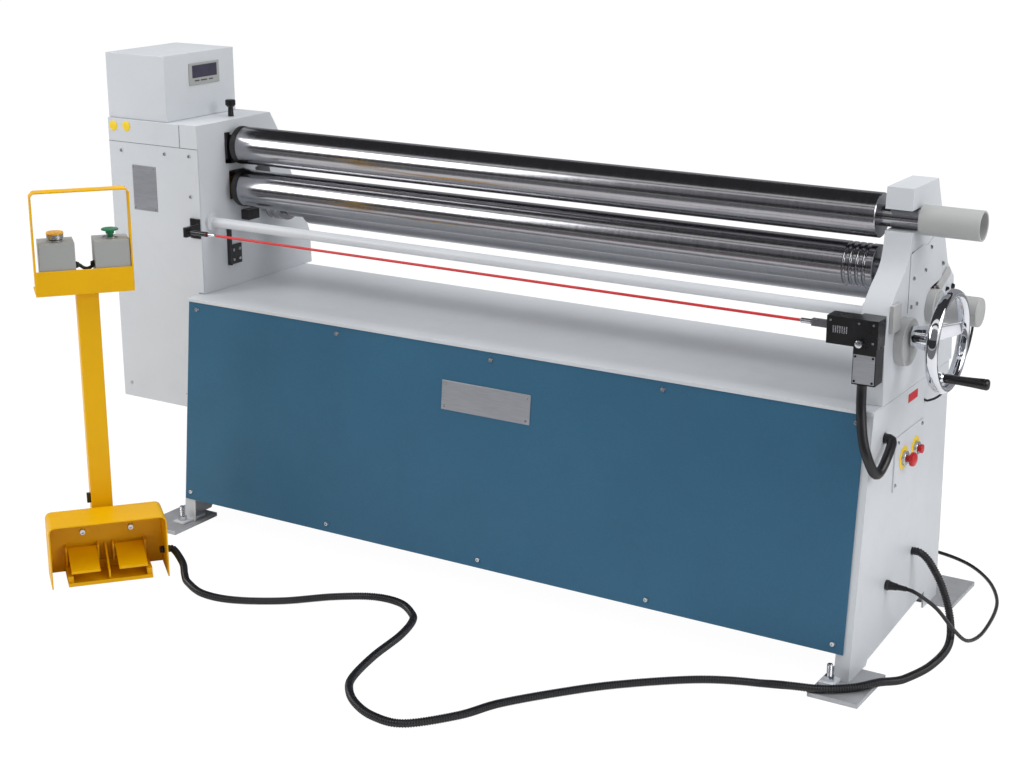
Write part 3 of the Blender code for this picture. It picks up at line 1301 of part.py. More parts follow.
piece(
    "side_button",
    [
        rod((side_back, SIDE_Y, SIDE_Z), (side_back + COLLAR_HEIGHT, SIDE_Y, SIDE_Z), SIDE_RADIUS, 24),
        rod((STAND_RIGHT - STEM_INSIDE, SIDE_Y, SIDE_Z), (side_back + OVERLAP, SIDE_Y, SIDE_Z), BUTTON_STEM_RADIUS, 20),
    ],
    RED,
    origin=(stop_face, SIDE_Y, SIDE_Z),
)

# Pedestal, in its own frame: x to its right, y to its back
guard_front = [(-GUARD_HALF, 0), (GUARD_HALF, 0)]
guard_hollow = [(-GUARD_HALF + POST_WALL, -SHEET), (GUARD_HALF - POST_WALL, -SHEET)]
for i in range(10):
    way = 1 if i < 5 else -1
    angle = math.radians(22.5 * (i if i < 5 else i - 1))
    for outline, wall in ((guard_front, 0), (guard_hollow, POST_WALL)):
        bend = GUARD_CORNER - wall
        outline.append((
            way * (GUARD_HALF - GUARD_CORNER) + bend * math.cos(angle),
            GUARD_HEIGHT - GUARD_CORNER + bend * math.sin(angle),
        ))
guard_back = GUARD_DEPTH
piece(
    "foot_guard",
    [plate(guard_front, 0, -guard_back, FACING)],
    YELLOW,
    cuts=[
        plate(guard_hollow, SHEET, POST_WALL - guard_back, FACING),
        rod((GUARD_HALF - POST_WALL * 2, HOSE_EXIT_BACK, HOSE_EXIT_Z), (GUARD_HALF + SHEET, HOSE_EXIT_BACK, HOSE_EXIT_Z),
            HOSE_RADIUS + GAP * 2, 20),
    ],
    parent=pedestal,
)
base_front = GUARD_DEPTH - POST_WALL - GAP - BASE_DEPTH
base_back = GUARD_DEPTH - POST_WALL - GAP
ear_tops = (PEDAL_LEFT_U, PEDAL_RIGHT_U)
ears = []
for centre in ear_tops:
    for way in (-1, 1):
        middle = centre + way * (PEDAL_HALF + EAR)
        ears.append(box((middle - EAR / 2, PEDAL_AXIS_OFF - BASE_HEIGHT / 2, BASE_HEIGHT - OVERLAP),
                        (middle + EAR / 2, base_back, EAR_TOP)))
pin_holes = []
for centre in ear_tops:
    reach = PEDAL_HALF + EAR * 2
    pin_holes.append(rod((centre - reach, PEDAL_AXIS_OFF, PEDAL_AXIS_Z), (centre + reach, PEDAL_AXIS_OFF, PEDAL_AXIS_Z),
                         PEDAL_PIN + RUNNING, 16))
piece(
    "pedal_base",
    [
        box((-BASE_HALF - EAR * 2, base_front, 0), (BASE_HALF + EAR * 2, base_back, BASE_HEIGHT)),
        *ears,
    ],
    YELLOW,
    cuts=[
        box((-BASE_HALF + EAR, base_front + EAR, EAR), (BASE_HALF - EAR, base_back - EAR * 2, BASE_HEIGHT + SHEET)),
        box((-BASE_HALF - EAR * 3, base_front - EAR, BASE_LIP), (BASE_HALF + EAR * 3, base_front + EAR * 2, BASE_HEIGHT + SHEET)),
        *pin_holes,
    ],
    parent=pedestal,
)
for name, centre in (("forward_pedal", PEDAL_LEFT_U), ("reverse_pedal", PEDAL_RIGHT_U)):
    tread = [
        (base_front - SHEET, PEDAL_TIP_Z),
        (PEDAL_AXIS_OFF, PEDAL_AXIS_Z),
        (PEDAL_AXIS_OFF, PEDAL_AXIS_Z + PEDAL_THICK),
        (base_front - SHEET, PEDAL_TIP_Z + PEDAL_THICK),
    ]
    pin_reach = PEDAL_HALF + EAR * 1.4
    piece(
        name,
        [
            plate(tread, centre - PEDAL_HALF, centre + PEDAL_HALF),
            rod((centre - pin_reach, PEDAL_AXIS_OFF, PEDAL_AXIS_Z), (centre + pin_reach, PEDAL_AXIS_OFF, PEDAL_AXIS_Z), PEDAL_PIN, 16),
        ],
        YELLOW,
        origin=(centre, PEDAL_AXIS_OFF, PEDAL_AXIS_Z),
        parent=pedestal,
    )
post_back = POST_FRONT + POST_HALF * 2
head_back = HEAD_FRONT + HEAD_DEPTH
loop_front = HEAD_FRONT - GAP
loop_outer = [
    (HEAD_LEFT, POST_TOP),
    (HEAD_RIGHT, POST_TOP),
    (HEAD_RIGHT, LOOP_TOP - LOOP_CORNER),
    (HEAD_RIGHT - LOOP_CORNER, LOOP_TOP),
    (HEAD_LEFT + LOOP_CORNER, LOOP_TOP),
    (HEAD_LEFT, LOOP_TOP - LOOP_CORNER),
]
loop_inner = [
    (HEAD_LEFT + LOOP_THICK, POST_TOP + EAR),
    (HEAD_RIGHT - LOOP_THICK, POST_TOP + EAR),
    (HEAD_RIGHT - LOOP_THICK, LOOP_TOP - LOOP_CORNER),
    (HEAD_RIGHT - LOOP_CORNER, LOOP_TOP - LOOP_THICK),
    (HEAD_LEFT + LOOP_CORNER, LOOP_TOP - LOOP_THICK),
    (HEAD_LEFT + LOOP_THICK, LOOP_TOP - LOOP_CORNER),
]
loop_mouth = [(across, max(height, HEAD_TOP)) for across, height in loop_inner]
piece(
    "pedestal_column",
    [
        box((-POST_HALF, POST_FRONT, 0), (POST_HALF, post_back, POST_TOP)),
        box((-FOOT_FLANGE_HALF, GUARD_DEPTH + GAP, 0), (FOOT_FLANGE_HALF, post_back + FLANGE, EAR)),
        box((-POST_HALF, GUARD_DEPTH + GAP, EAR - OVERLAP), (POST_HALF, POST_FRONT + OVERLAP, GUARD_HEIGHT - GUARD_CORNER * 1.5)),
        box((HEAD_LEFT, HEAD_FRONT, POST_TOP - OVERLAP), (HEAD_RIGHT, head_back, POST_TOP + EAR)),
        plate(loop_outer, -HEAD_FRONT, -HEAD_FRONT - LOOP_WIDTH, FACING),
    ],
    YELLOW,
    cuts=[
        plate(loop_inner, -HEAD_FRONT - EAR, -HEAD_FRONT - LOOP_WIDTH - SHEET, FACING),
        plate(loop_mouth, SHEET - HEAD_FRONT, -HEAD_FRONT - LOOP_WIDTH - SHEET, FACING),
    ],
    parent=pedestal,
)
box_front = HEAD_FRONT + EAR + GAP
for side, centre, name, mat in (
    ("left", BOX_LEFT_U, "stop_button", AMBER),
    ("right", BOX_RIGHT_U, "start_button", GREEN),
):
    push_y = box_front + BOX_DEPTH / 2
    piece(
        f"button_box_{side}",
        [
            box((centre - BOX_HALF, box_front, BOX_BOTTOM_Z), (centre + BOX_HALF, box_front + BOX_DEPTH, BOX_TOP_Z)),
            rod((centre, push_y, BOX_TOP_Z - OVERLAP), (centre, push_y, BOX_TOP_Z + EAR), PUSH_RADIUS * 0.8, 24),
        ],
        BOX_GREY,
        cuts=[rod((centre, push_y, BOX_TOP_Z - PUSH_WELL), (centre, push_y, BOX_TOP_Z + EAR * 2), BUTTON_STEM_RADIUS + RUNNING, 20)],
        parent=pedestal,
    )
    push_low = BOX_TOP_Z + EAR + PUSH_TRAVEL + GAP
    piece(
        name,
        [
            turned(
                [
                    (0, 0),
                    (0, PUSH_RADIUS * 0.8),
                    (PUSH_HEIGHT * 0.3, PUSH_RADIUS),
                    (PUSH_HEIGHT * 0.7, PUSH_RADIUS * 0.94),
                    (PUSH_HEIGHT, PUSH_RADIUS * 0.60),
                    (PUSH_HEIGHT, 0),
                ],
                (centre, push_y, push_low),
                axis="Z",
                sides=20,
            ),
            rod((centre, push_y, BOX_TOP_Z - PUSH_WELL + PUSH_TRAVEL + GAP), (centre, push_y, push_low + OVERLAP), BUTTON_STEM_RADIUS, 20),
        ],
        mat,
        origin=(centre, push_y, BOX_TOP_Z),
        parent=pedestal,
    )

# Ribbed floor hose from the pedestal to the right side panel
def from_pedestal(across, back, height):
    """A point of the pedestal's frame in the machine's frame."""
    cosine = math.cos(PEDESTAL_TURN)
    sine = math.sin(PEDESTAL_TURN)
    return PEDESTAL_X + across * cosine - back * sine, PEDESTAL_Y + across * sine + back * cosine, height


HOSE_FLOOR_ROUTE = [
    (-0.572, -0.533), (-0.503, -0.563), (-0.423, -0.555), (-0.328, -0.503), (-0.246, -0.426),
    (-0.169, -0.378), (-0.10, -0.375), (-0.047, -0.407), (-0.021, -0.441), (-0.001, -0.515), (0.010, -0.625),
    (0.031, -0.724), (0.057, -0.773), (0.104, -0.816), (0.167, -0.843), (0.234, -0.836), (0.304, -0.753),
    (0.343, -0.671), (0.418, -0.569), (0.501, -0.476), (0.627, -0.372), (0.736, -0.324),
]
hose_rest = HOSE_RADIUS + GAP
hose_high = hose_rest + PAD_HEIGHT
hose_points = [
    from_pedestal(GUARD_HALF - HOSE_RADIUS * 1.5, HOSE_EXIT_BACK, HOSE_EXIT_Z),
    from_pedestal(GUARD_HALF + HOSE_RADIUS * 0.5, HOSE_EXIT_BACK, HOSE_EXIT_Z),
    from_pedestal(GUARD_HALF + HOSE_RADIUS * 2.2, HOSE_EXIT_BACK * 0.94, HOSE_EXIT_Z * 0.93),
    (-0.628, -0.486, hose_rest * 3.1),
    (-0.602, -0.510, hose_rest * 1.5),
]
hose_points += [(x, y, hose_rest) for x, y in HOSE_FLOOR_ROUTE]
hose_points += [
    (0.799, -0.322, hose_rest + PAD_HEIGHT), (0.861, -0.301, hose_high), (0.912, -0.261, hose_high),
    (0.944, -0.216, hose_high), (0.974, -0.157, hose_rest), (0.998, -0.076, hose_rest), (1.004, 0.022, hose_rest + 0.008),
    (0.985, 0.085, 0.050), (0.957, 0.106, 0.108), (0.927, 0.102, 0.160), (0.905, 0.100, 0.178),
]
hose_route = smooth_route([*hose_points, (WALL_MIDDLE, HOSE_ENTRY_Y, HOSE_ENTRY_Z)], HOSE_RIBS * 2 + 1, hose_rest)
past_start = hose_route[0] * 2 - hose_route[1]
past_end = hose_route[-1] * 2 - hose_route[-2]
rib_radii = []
for i in range(len(hose_route)):
    smooth_end = i < 4 or i > len(hose_route) - 5
    rib_radii.append(1.0 if i % 2 == 0 or smooth_end else HOSE_INNER / HOSE_RADIUS)
piece(
    "pedal_hose",
    [tube(hose_route, HOSE_RADIUS, 1, rib_radii)],
    RUBBER,
    cuts=[tube([past_start, *hose_route[2:-1:2], past_end], HOSE_BORE, 1)],
)

# Power cord, coil and plug
piece(
    "power_cord_gland",
    [rod((STAND_RIGHT + GAP, GLAND_Y, GLAND_Z), (GLAND_END, GLAND_Y, GLAND_Z), GLAND_RADIUS, 24, GLAND_RADIUS * 0.7)],
    BLACK,
)
cord_rest = CORD_RADIUS + GAP
coil_outer = COIL_RADIUS + COIL_STEP
cord_points = [
    (GLAND_END + CLEAR, GLAND_Y, GLAND_Z), (GLAND_END + CORD_RADIUS * 2, GLAND_Y, GLAND_Z), (0.962, -0.045, 0.144),
    (0.990, -0.020, 0.112), (1.012, 0.022, 0.058), (1.028, 0.072, 0.016), (1.036, 0.151, cord_rest),
    (1.025, 0.272, cord_rest), (1.001, 0.359, cord_rest), (0.952, 0.446, cord_rest), (0.881, 0.514, cord_rest),
    (0.793, 0.546, cord_rest), (0.720, 0.532, cord_rest), (0.655, 0.487, cord_rest), (0.600, 0.447, cord_rest),
    (COIL_X + CORD_RADIUS * 4, COIL_Y + coil_outer, cord_rest),
    (COIL_X + CLEAR, COIL_Y + coil_outer, cord_rest),
]
piece("power_cord", [tube(smooth_route(cord_points, 72, cord_rest), CORD_RADIUS, 1)], BLACK)

# Loops laid inwards on the floor, then outwards on top of them: (loops, radius in steps, layer)
COIL_SHARES = [
    (0, 1, 0), (3, -2, 0), (3.5, -2.5, 1), (3.75, -2.3, 1), (4, -1.6, 1), (4.25, -1.25, 1), (4.5, -1.25, 1),
    (5, -0.6, 1), (5.25, -0.25, 1), (5.5, -0.25, 1), (6, 0.4, 1),
]


def coil_share(loops, column):
    """A column of the coil table between its rows."""
    for before, after in zip(COIL_SHARES, COIL_SHARES[1:]):
        if before[0] <= loops <= after[0]:
            share = (loops - before[0]) / (after[0] - before[0])
            return before[column] + (after[column] - before[column]) * share
    return COIL_SHARES[-1][column]


coil_points = []
for i in range(COIL_LOOPS * 24 + 1):
    loops = i / 24
    radius = COIL_RADIUS + COIL_STEP * coil_share(loops, 1)
    angle = math.tau * (loops + 0.25)
    height = cord_rest + COIL_STEP * coil_share(loops, 2)
    coil_points.append((COIL_X + radius * math.cos(angle), COIL_Y + radius * math.sin(angle), height))
closest = min(
    (Vector(a) - Vector(b)).length
    for i, a in enumerate(coil_points)
    for b in coil_points[i + 12:]
)
print("coil self-gap mm", round((closest - CORD_RADIUS * 2) * 1000, 3))
tail_x, tail_y, tail_z = coil_points[-1]
plug_x = COIL_X - COIL_RADIUS * 1.7
plug_z = PLUG_RADIUS + GAP
coil_points += smooth_route(
    [
        (tail_x - COIL_STEP, tail_y, tail_z),
        (tail_x - COIL_RADIUS, tail_y, tail_z),
        (plug_x + CORD_RADIUS * 4, tail_y, plug_z),
        (plug_x + CLEAR, tail_y, plug_z),
    ],
    9,
)
piece("power_cord_coil", [tube(coil_points, CORD_RADIUS, 1)], BLACK)
pins = []
for way in (-1, 1):
    pin_y = tail_y + way * PLUG_RADIUS * 0.56
    pins.append(rod((plug_x - PLUG_LENGTH + OVERLAP, pin_y, plug_z),
                    (plug_x - PLUG_LENGTH - PLUG_PIN_LENGTH, pin_y, plug_z), PLUG_PIN_RADIUS, 12))
piece(
    "power_plug",
    [
        turned(
            [
                (0, 0),
                (0, PLUG_RADIUS),
                (PLUG_LENGTH * 0.45, PLUG_RADIUS),
                (PLUG_LENGTH * 0.65, PLUG_RADIUS * 0.75),
                (PLUG_LENGTH, CORD_RADIUS * 1.4),
                (PLUG_LENGTH, 0),
            ],
            (plug_x - PLUG_LENGTH, tail_y, plug_z),
            sides=20,
        ),
        *pins,
    ],
    BLACK,
)
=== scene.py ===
import json
import math

import bmesh
import bpy
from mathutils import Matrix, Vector


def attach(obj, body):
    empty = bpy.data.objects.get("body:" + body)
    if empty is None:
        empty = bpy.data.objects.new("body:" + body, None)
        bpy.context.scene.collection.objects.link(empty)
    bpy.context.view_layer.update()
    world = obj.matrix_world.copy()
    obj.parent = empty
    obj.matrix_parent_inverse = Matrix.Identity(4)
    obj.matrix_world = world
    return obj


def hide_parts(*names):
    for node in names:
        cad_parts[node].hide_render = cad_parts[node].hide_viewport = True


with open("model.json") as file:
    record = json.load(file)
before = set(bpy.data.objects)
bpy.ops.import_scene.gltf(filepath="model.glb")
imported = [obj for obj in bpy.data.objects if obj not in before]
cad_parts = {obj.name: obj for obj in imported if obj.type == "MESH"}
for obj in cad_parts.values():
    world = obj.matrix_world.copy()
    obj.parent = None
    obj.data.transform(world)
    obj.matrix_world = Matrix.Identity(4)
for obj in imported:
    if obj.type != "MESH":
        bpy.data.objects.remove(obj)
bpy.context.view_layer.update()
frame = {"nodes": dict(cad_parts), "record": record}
nodes = frame["nodes"]
print("frame loaded:", len(nodes), "nodes")

# Where the machine's own origin lies in the row frame, and the pedestal in the machine's
origin = {"x": 0.0165, "y": 0.153969, "pedestalX": -0.7315, "pedestalY": -0.6106, "pedestalTurn": 49.652}
toRight, toLeft = Vector((1, 0, 0)), Vector((-1, 0, 0))
toFront, toBack = Vector((0, -1, 0)), Vector((0, 1, 0))
toTop = Vector((0, 0, 1))


def spot(x, y, z):
    return Vector((x + origin["x"], y + origin["y"], z))


def postSpot(across, back, z):
    turn = math.radians(origin["pedestalTurn"])
    return spot(origin["pedestalX"] + across * math.cos(turn) - back * math.sin(turn),
        origin["pedestalY"] + across * math.sin(turn) + back * math.cos(turn), z)


def placeObject(name, data):
    made = bpy.data.objects.new(name, data)
    bpy.context.scene.collection.objects.link(made)
    return made


# Camera, at the photograph's angle
view = {"x": 2.0688, "y": -3.2365, "z": 1.6235, "pitch": 16.751, "heading": 31.705, "lens": 64.09}
cameraData = bpy.data.cameras.new("camera")
cameraData.lens = view["lens"]
cameraData.sensor_width = 36
cameraData.clip_end = 200
camera = placeObject("camera", cameraData)
camera.location = (view["x"], view["y"], view["z"])
camera.rotation_euler = (math.radians(90 - view["pitch"]), 0, math.radians(view["heading"]))
bpy.context.scene.camera = camera
bpy.context.scene.view_settings.view_transform = "Standard"


# Materials
def linear(red, green, blue):
    # a colour as it looks on a screen, from 0 to 255
    shares = (red / 255, green / 255, blue / 255)
    return tuple((c / 12.92 if c <= 0.04045 else ((c + 0.055) / 1.055) ** 2.4) for c in shares)


def shade(colour, amount):
    return (*[min(1.0, c * amount) for c in colour], 1.0)


def addNode(tree, kind, inputs=(), **settings):
    made = tree.nodes.new(kind)
    for key, value in settings.items():
        setattr(made, key, value)
    for key, value in dict(inputs).items():
        made.inputs[key].default_value = value
    return made


def connect(tree, rows):
    # rows of (node, output, node, input)
    for start, output, end, entry in rows:
        tree.links.new(start.outputs[output], end.inputs[entry])


def newFinish(name):
    made = bpy.data.materials.new(name)
    made.use_nodes = True
    tree = made.node_tree
    return made, tree, tree.nodes["Principled BSDF"], addNode(tree, "ShaderNodeTexCoord").outputs["Object"]


def noise(tree, where, scale, detail=3.0, stretch=(1, 1, 1), rough=0.55):
    mapping = addNode(tree, "ShaderNodeMapping", {"Scale": stretch})
    texture = addNode(tree, "ShaderNodeTexNoise", {"Scale": scale, "Detail": detail, "Roughness": rough})
    tree.links.new(where, mapping.inputs["Vector"])
    tree.links.new(mapping.outputs["Vector"], texture.inputs["Vector"])
    return texture.outputs["Fac"]


def spread(tree, value, low, high, start=0.3, end=0.7):
    limits = {"From Min": start, "From Max": end, "To Min": low, "To Max": high}
    remap = addNode(tree, "ShaderNodeMapRange", limits)
    tree.links.new(value, remap.inputs["Value"])
    return remap.outputs["Result"]


def blendColours(tree, share, first, second):
    mix = addNode(tree, "ShaderNodeMix", data_type="RGBA")
    tree.links.new(share, mix.inputs["Factor"])
    for socket, value in ((mix.inputs[6], first), (mix.inputs[7], second)):
        if isinstance(value, tuple):
            socket.default_value = value
        else:
            tree.links.new(value, socket)
    return mix.outputs[2]


def bump(tree, shader, height, strength, distance):
    made = addNode(tree, "ShaderNodeBump", {"Strength": strength, "Distance": distance})
    tree.links.new(height, made.inputs["Height"])
    tree.links.new(made.outputs["Normal"], shader.inputs["Normal"])


def paintFinish(name, colour, dirt=0.93, gloss=(0.34, 0.46), peel=420, peelDepth=0.00012, flecks=0.0, shine=0.45):
    # sprayed paint: cloudy colour, orange peel, smudges that are duller
    made, tree, shader, where = newFinish(name)
    cloud = noise(tree, where, 3.2, 5)
    smudge = noise(tree, where, 11, 6, rough=0.7)
    base = blendColours(tree, spread(tree, cloud, 0, 1), shade(colour, dirt), shade(colour, 1.03))
    base = blendColours(tree, spread(tree, smudge, 0, 0.35, 0.52, 0.75), base, shade(colour, dirt * 0.93))
    if flecks:
        for scale, start, tone in ((310, 0.56, 1.45), (240, 0.57, 0.62)):
            fleck = noise(tree, where, scale, 2)
            base = blendColours(tree, spread(tree, fleck, 0, flecks, start, 0.7), base, shade(colour, tone))
    tree.links.new(base, shader.inputs["Base Color"])
    tree.links.new(spread(tree, smudge, *gloss), shader.inputs["Roughness"])
    shader.inputs["Specular IOR Level"].default_value = shine
    bump(tree, shader, noise(tree, where, peel, 2), 0.35, peelDepth)
    return made


def metalFinish(name, colour, gloss, streak=(1, 1, 1), streakScale=60, dark=0.86, depth=0.00004, metallic=1.0):
    # bare metal with marks that run one way, and faint stains
    made, tree, shader, where = newFinish(name)
    lines = noise(tree, where, streakScale, 4, streak)
    stain = noise(tree, where, 7, 5, rough=0.65)
    base = blendColours(tree, spread(tree, lines, 0, 1), shade(colour, dark), shade(colour, 1.05))
    base = blendColours(tree, spread(tree, stain, 0, 0.4, 0.55, 0.8), base, shade(colour, dark * 0.86))
    tree.links.new(base, shader.inputs["Base Color"])
    shader.inputs["Metallic"].default_value = metallic
    tree.links.new(spread(tree, lines, *gloss), shader.inputs["Roughness"])
    bump(tree, shader, lines, 0.3, depth)
    return made


def plasticFinish(name, colour, gloss=(0.3, 0.42), grain=700, depth=0.00008, worn=1.25):
    # moulded plastic or rubber: patches of sheen and a fine grain
    made, tree, shader, where = newFinish(name)
    patch = noise(tree, where, 26, 4, rough=0.6)
    base = blendColours(tree, spread(tree, patch, 0, 1), shade(colour, 0.85), shade(colour, worn))
    tree.links.new(base, shader.inputs["Base Color"])
    tree.links.new(spread(tree, patch, *gloss), shader.inputs["Roughness"])
    bump(tree, shader, noise(tree, where, grain, 2), 0.3, depth)
    return made


finishes = {"blue_paint": paintFinish("hammeredBlue", linear(50, 99, 129), 0.9, (0.34, 0.46), 330, 0.0003, 0.2,
    0.3), "light_paint": paintFinish("lightGreyPaint", linear(205, 209, 214), 0.95),
    "grey_paint": paintFinish("midGreyPaint", linear(176, 177, 177), 0.93, (0.4, 0.52)),
    "ground_steel": metalFinish("groundSteel", linear(172, 172, 176), (0.13, 0.22), (14, 0.5, 0.5), 60),
    "dark_steel": metalFinish("darkSteel", linear(78, 78, 80), (0.35, 0.5), dark=0.7, metallic=0.85),
    "chrome": metalFinish("chromePlate", linear(218, 220, 226), (0.04, 0.09), streakScale=25, dark=0.95,
    depth=0.00001), "black_plastic": plasticFinish("blackPlastic", linear(20, 20, 22), (0.24, 0.36)),
    "black_rubber": plasticFinish("blackRubber", linear(20, 20, 24), (0.3, 0.44), 500, 0.0001),
    "yellow_paint": paintFinish("yellowPaint", linear(240, 182, 0), 0.92, (0.34, 0.46), shine=0.2),
    "red_plastic": plasticFinish("redPlastic", linear(196, 26, 34), (0.25, 0.36), worn=1.1),
    "green_plastic": plasticFinish("greenPlastic", linear(26, 128, 84), (0.25, 0.36), worn=1.1),
    "amber_plastic": plasticFinish("amberPlastic", linear(236, 178, 66), (0.25, 0.36), worn=1.1),
    "box_grey": paintFinish("boxGreyPaint", linear(164, 166, 164), 0.96, (0.4, 0.5)),
    "bronze": metalFinish("bearingBronze", linear(176, 134, 84), (0.3, 0.42), (1, 12, 12), 40)}
seamDark = plasticFinish("seamShadow", linear(70, 72, 76), (0.6, 0.7))
plateSilver = metalFinish("barePlate", linear(188, 190, 196), (0.3, 0.4), (1, 1, 24), 30, metallic=0.75)
discYellow = paintFinish("yellowDisc", linear(244, 208, 40), 0.95)
displayGlass = plasticFinish("displayGlass", linear(58, 54, 72), (0.16, 0.24), 300, 0.00001)
ropeRed = plasticFinish("ropeRed", linear(205, 40, 44), (0.3, 0.4), 900, 0.0001, 1.1)
padZinc = metalFinish("padZinc", linear(186, 188, 192), (0.38, 0.5), streakScale=30, metallic=0.5)
screwSteel = metalFinish("screwSteel", linear(206, 208, 212), (0.2, 0.32), streakScale=90)
print("finishes made:", len(finishes))

for node in nodes.values():
    slotNames = [m.name for m in node.data.materials]
    for i, name in enumerate(slotNames):
        key = name.split(".")[0]
        if key in finishes:
            node.data.materials[i] = finishes[key]

# Building helpers
bodyOf = {node: body for body, held in frame["record"]["behaviour"]["bodies"].items() for node in held}
slotOf = {part["node"]: part["material_slot"] for part in frame["record"]["subparts"]}
meshing = {"sharpAngle": math.radians(32), "flatAngle": math.radians(0.4), "weld": 0.000001, "cadWeld": 0.00001,
    "curveSteps": 24}


def enter(made, body, replaced):
    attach(made, body)
    if replaced:
        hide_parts(*replaced)
    return made


def addPiece(name, mesh, slotName, finish=None, body="machine", replaced=()):
    mesh.materials.clear()
    mesh.materials.append(finish or finishes[slotName])
    return enter(placeObject(name, mesh), body, replaced)


def meshFrom(work, name):
    for face in work.faces:
        face.smooth = True
    for edge in work.edges:
        edge.smooth = len(edge.link_faces) == 2 and edge.calc_face_angle(0) < meshing["sharpAngle"]
    mesh = bpy.data.meshes.new(name)
    work.to_mesh(mesh)
    work.free()
    return mesh


def finishMesh(work, name):
    bmesh.ops.remove_doubles(work, verts=work.verts, dist=meshing["weld"])
    bmesh.ops.recalc_face_normals(work, faces=work.faces)
    return meshFrom(work, name)


def roundEdges(made, width):
    rounding = made.modifiers.new("edges", "BEVEL")
    rounding.width = width
    rounding.segments = 2
    rounding.limit_method = "ANGLE"
    rounding.angle_limit = meshing["sharpAngle"]
    made.modifiers.new("normals", "WEIGHTED_NORMAL").keep_sharp = True


def refined(nodeName, edge, finish=None, shape=None):
    # a copy of a CAD node with its edges rounded, shown in its place
    work = bmesh.new()
    work.from_mesh(nodes[nodeName].data)
    bmesh.ops.remove_doubles(work, verts=work.verts, dist=meshing["cadWeld"])
    bmesh.ops.dissolve_limit(work, angle_limit=meshing["flatAngle"], verts=work.verts, edges=work.edges)
    if shape:
        shape(work)
    name = nodeName + "Form"
    body = bodyOf.get(nodeName, "machine")
    roundEdges(addPiece(name, meshFrom(work, name), slotOf[nodeName], finish, body, [nodeName]), edge)


def skinRings(work, rings, closed=False):
    # faces between rings of vertices; an open row of rings gets its two caps
    count = len(rings[0])
    for before, after in zip(rings, rings[1:] + (rings[:1] if closed else [])):
        for j in range(count):
            k = (j + 1) % count
            work.faces.new((before[j], before[k], after[k], after[j]))
    if not closed:
        work.faces.new(rings[0])
        work.faces.new(rings[-1])


def circleVerts(work, centre, first, second, radius, sides):
    angles = [math.tau * i / sides for i in range(sides)]
    return [work.verts.new(centre + (first * math.cos(a) + second * math.sin(a)) * radius) for a in angles]


def lathe(work, profile, start, axis, sides):
    # turns (along, radius) pairs round an axis through start
    direction = axis.normalized()
    first = direction.orthogonal().normalized()
    second = direction.cross(first)
    rings = []
    for along, radius in profile:
        centre = Vector(start) + direction * along
        if radius <= 0:
            rings.append([work.verts.new(centre)])
            continue
        rings.append(circleVerts(work, centre, first, second, radius, sides))
    for before, after in zip(rings, rings[1:]):
        for i in range(sides):
            j = (i + 1) % sides
            if len(before) == 1 and len(after) == 1:
                continue
            if len(before) == 1:
                work.faces.new((before[0], after[i], after[j]))
            elif len(after) == 1:
                work.faces.new((before[i], after[0], before[j]))
            else:
                work.faces.new((before[i], after[i], after[j], before[j]))


def turnedPiece(name, profile, start, slotName, finish=None, body="machine", replaced=(), axis=toRight, sides=48):
    work = bmesh.new()
    lathe(work, profile, start, axis, sides)
    return addPiece(name, finishMesh(work, name), slotName, finish, body, replaced)


def addBox(work, low, high, place):
    corners = [Vector((x, y, z)) for x in (low[0], high[0]) for y in (low[1], high[1]) for z in (low[2], high[2])]
    verts = [work.verts.new(place(*c)) for c in corners]
    for face in ((0, 1, 3, 2), (4, 6, 7, 5), (0, 4, 5, 1), (2, 3, 7, 6), (0, 2, 6, 4), (1, 5, 7, 3)):
        work.faces.new([verts[k] for k in face])


def boxPiece(name, boxes, slotName, finish=None, edge=0.0, place=spot, replaced=()):
    work = bmesh.new()
    for low, high in boxes:
        addBox(work, low, high, place)
    made = addPiece(name, finishMesh(work, name), slotName, finish, replaced=replaced)
    if edge:
        roundEdges(made, edge)


def prismPiece(name, first, second, slotName, finish=None, edge=0.0):
    # a slab between two outlines with as many corners
    work = bmesh.new()
    verts = [work.verts.new(p) for p in (*first, *second)]
    count = len(first)
    work.faces.new(verts[:count])
    work.faces.new(verts[count:])
    for k in range(count):
        j = (k + 1) % count
        work.faces.new([verts[i] for i in (k, j, j + count, k + count)])
    made = addPiece(name, finishMesh(work, name), slotName, finish)
    if edge:
        roundEdges(made, edge)


def routeLength(points):
    return sum((Vector(b) - Vector(a)).length for a, b in zip(points, points[1:]))


def curvePoint(a, b, c, d, t):
    return 0.5 * (2 * b + (c - a) * t + (2 * a - 5 * b + 4 * c - d) * t * t + (3 * b - a - 3 * c + d) * t * t * t)


def smoothRoute(points, step, lowest=-1.0):
    # evenly spaced points on a smooth curve through the route
    knots = [Vector(p) for p in points]
    knots = [2 * knots[0] - knots[1], *knots, 2 * knots[-1] - knots[-2]]
    fine = []
    for a, b, c, d in zip(knots, knots[1:], knots[2:], knots[3:]):
        steps = meshing["curveSteps"]
        fine += [curvePoint(a, b, c, d, i / steps) for i in range(steps)]
    fine.append(knots[-2])
    for point in fine:
        point.z = max(point.z, lowest)
    total = routeLength(fine)
    count = max(2, round(total / step))
    even, at, passed = [], 0, 0.0
    for i in range(count + 1):
        want = total * i / count
        while at < len(fine) - 2 and passed + (fine[at + 1] - fine[at]).length < want:
            passed += (fine[at + 1] - fine[at]).length
            at += 1
        part = (fine[at + 1] - fine[at]).length
        even.append(fine[at].lerp(fine[at + 1], min(1.0, (want - passed) / part)))
    return even


def roundCurve(name, points, radius, replaced, finish=finishes["black_rubber"], body="machine"):
    curve = bpy.data.curves.new(name, "CURVE")
    curve.dimensions = "3D"
    curve.bevel_depth = radius
    curve.bevel_resolution = 3
    curve.use_fill_caps = True
    spline = curve.splines.new("POLY")
    spline.points.add(len(points) - 1)
    for target, point in zip(spline.points, points):
        target.co = (*point, 1)
    curve.materials.append(finish)
    return enter(placeObject(name, curve), body, replaced)


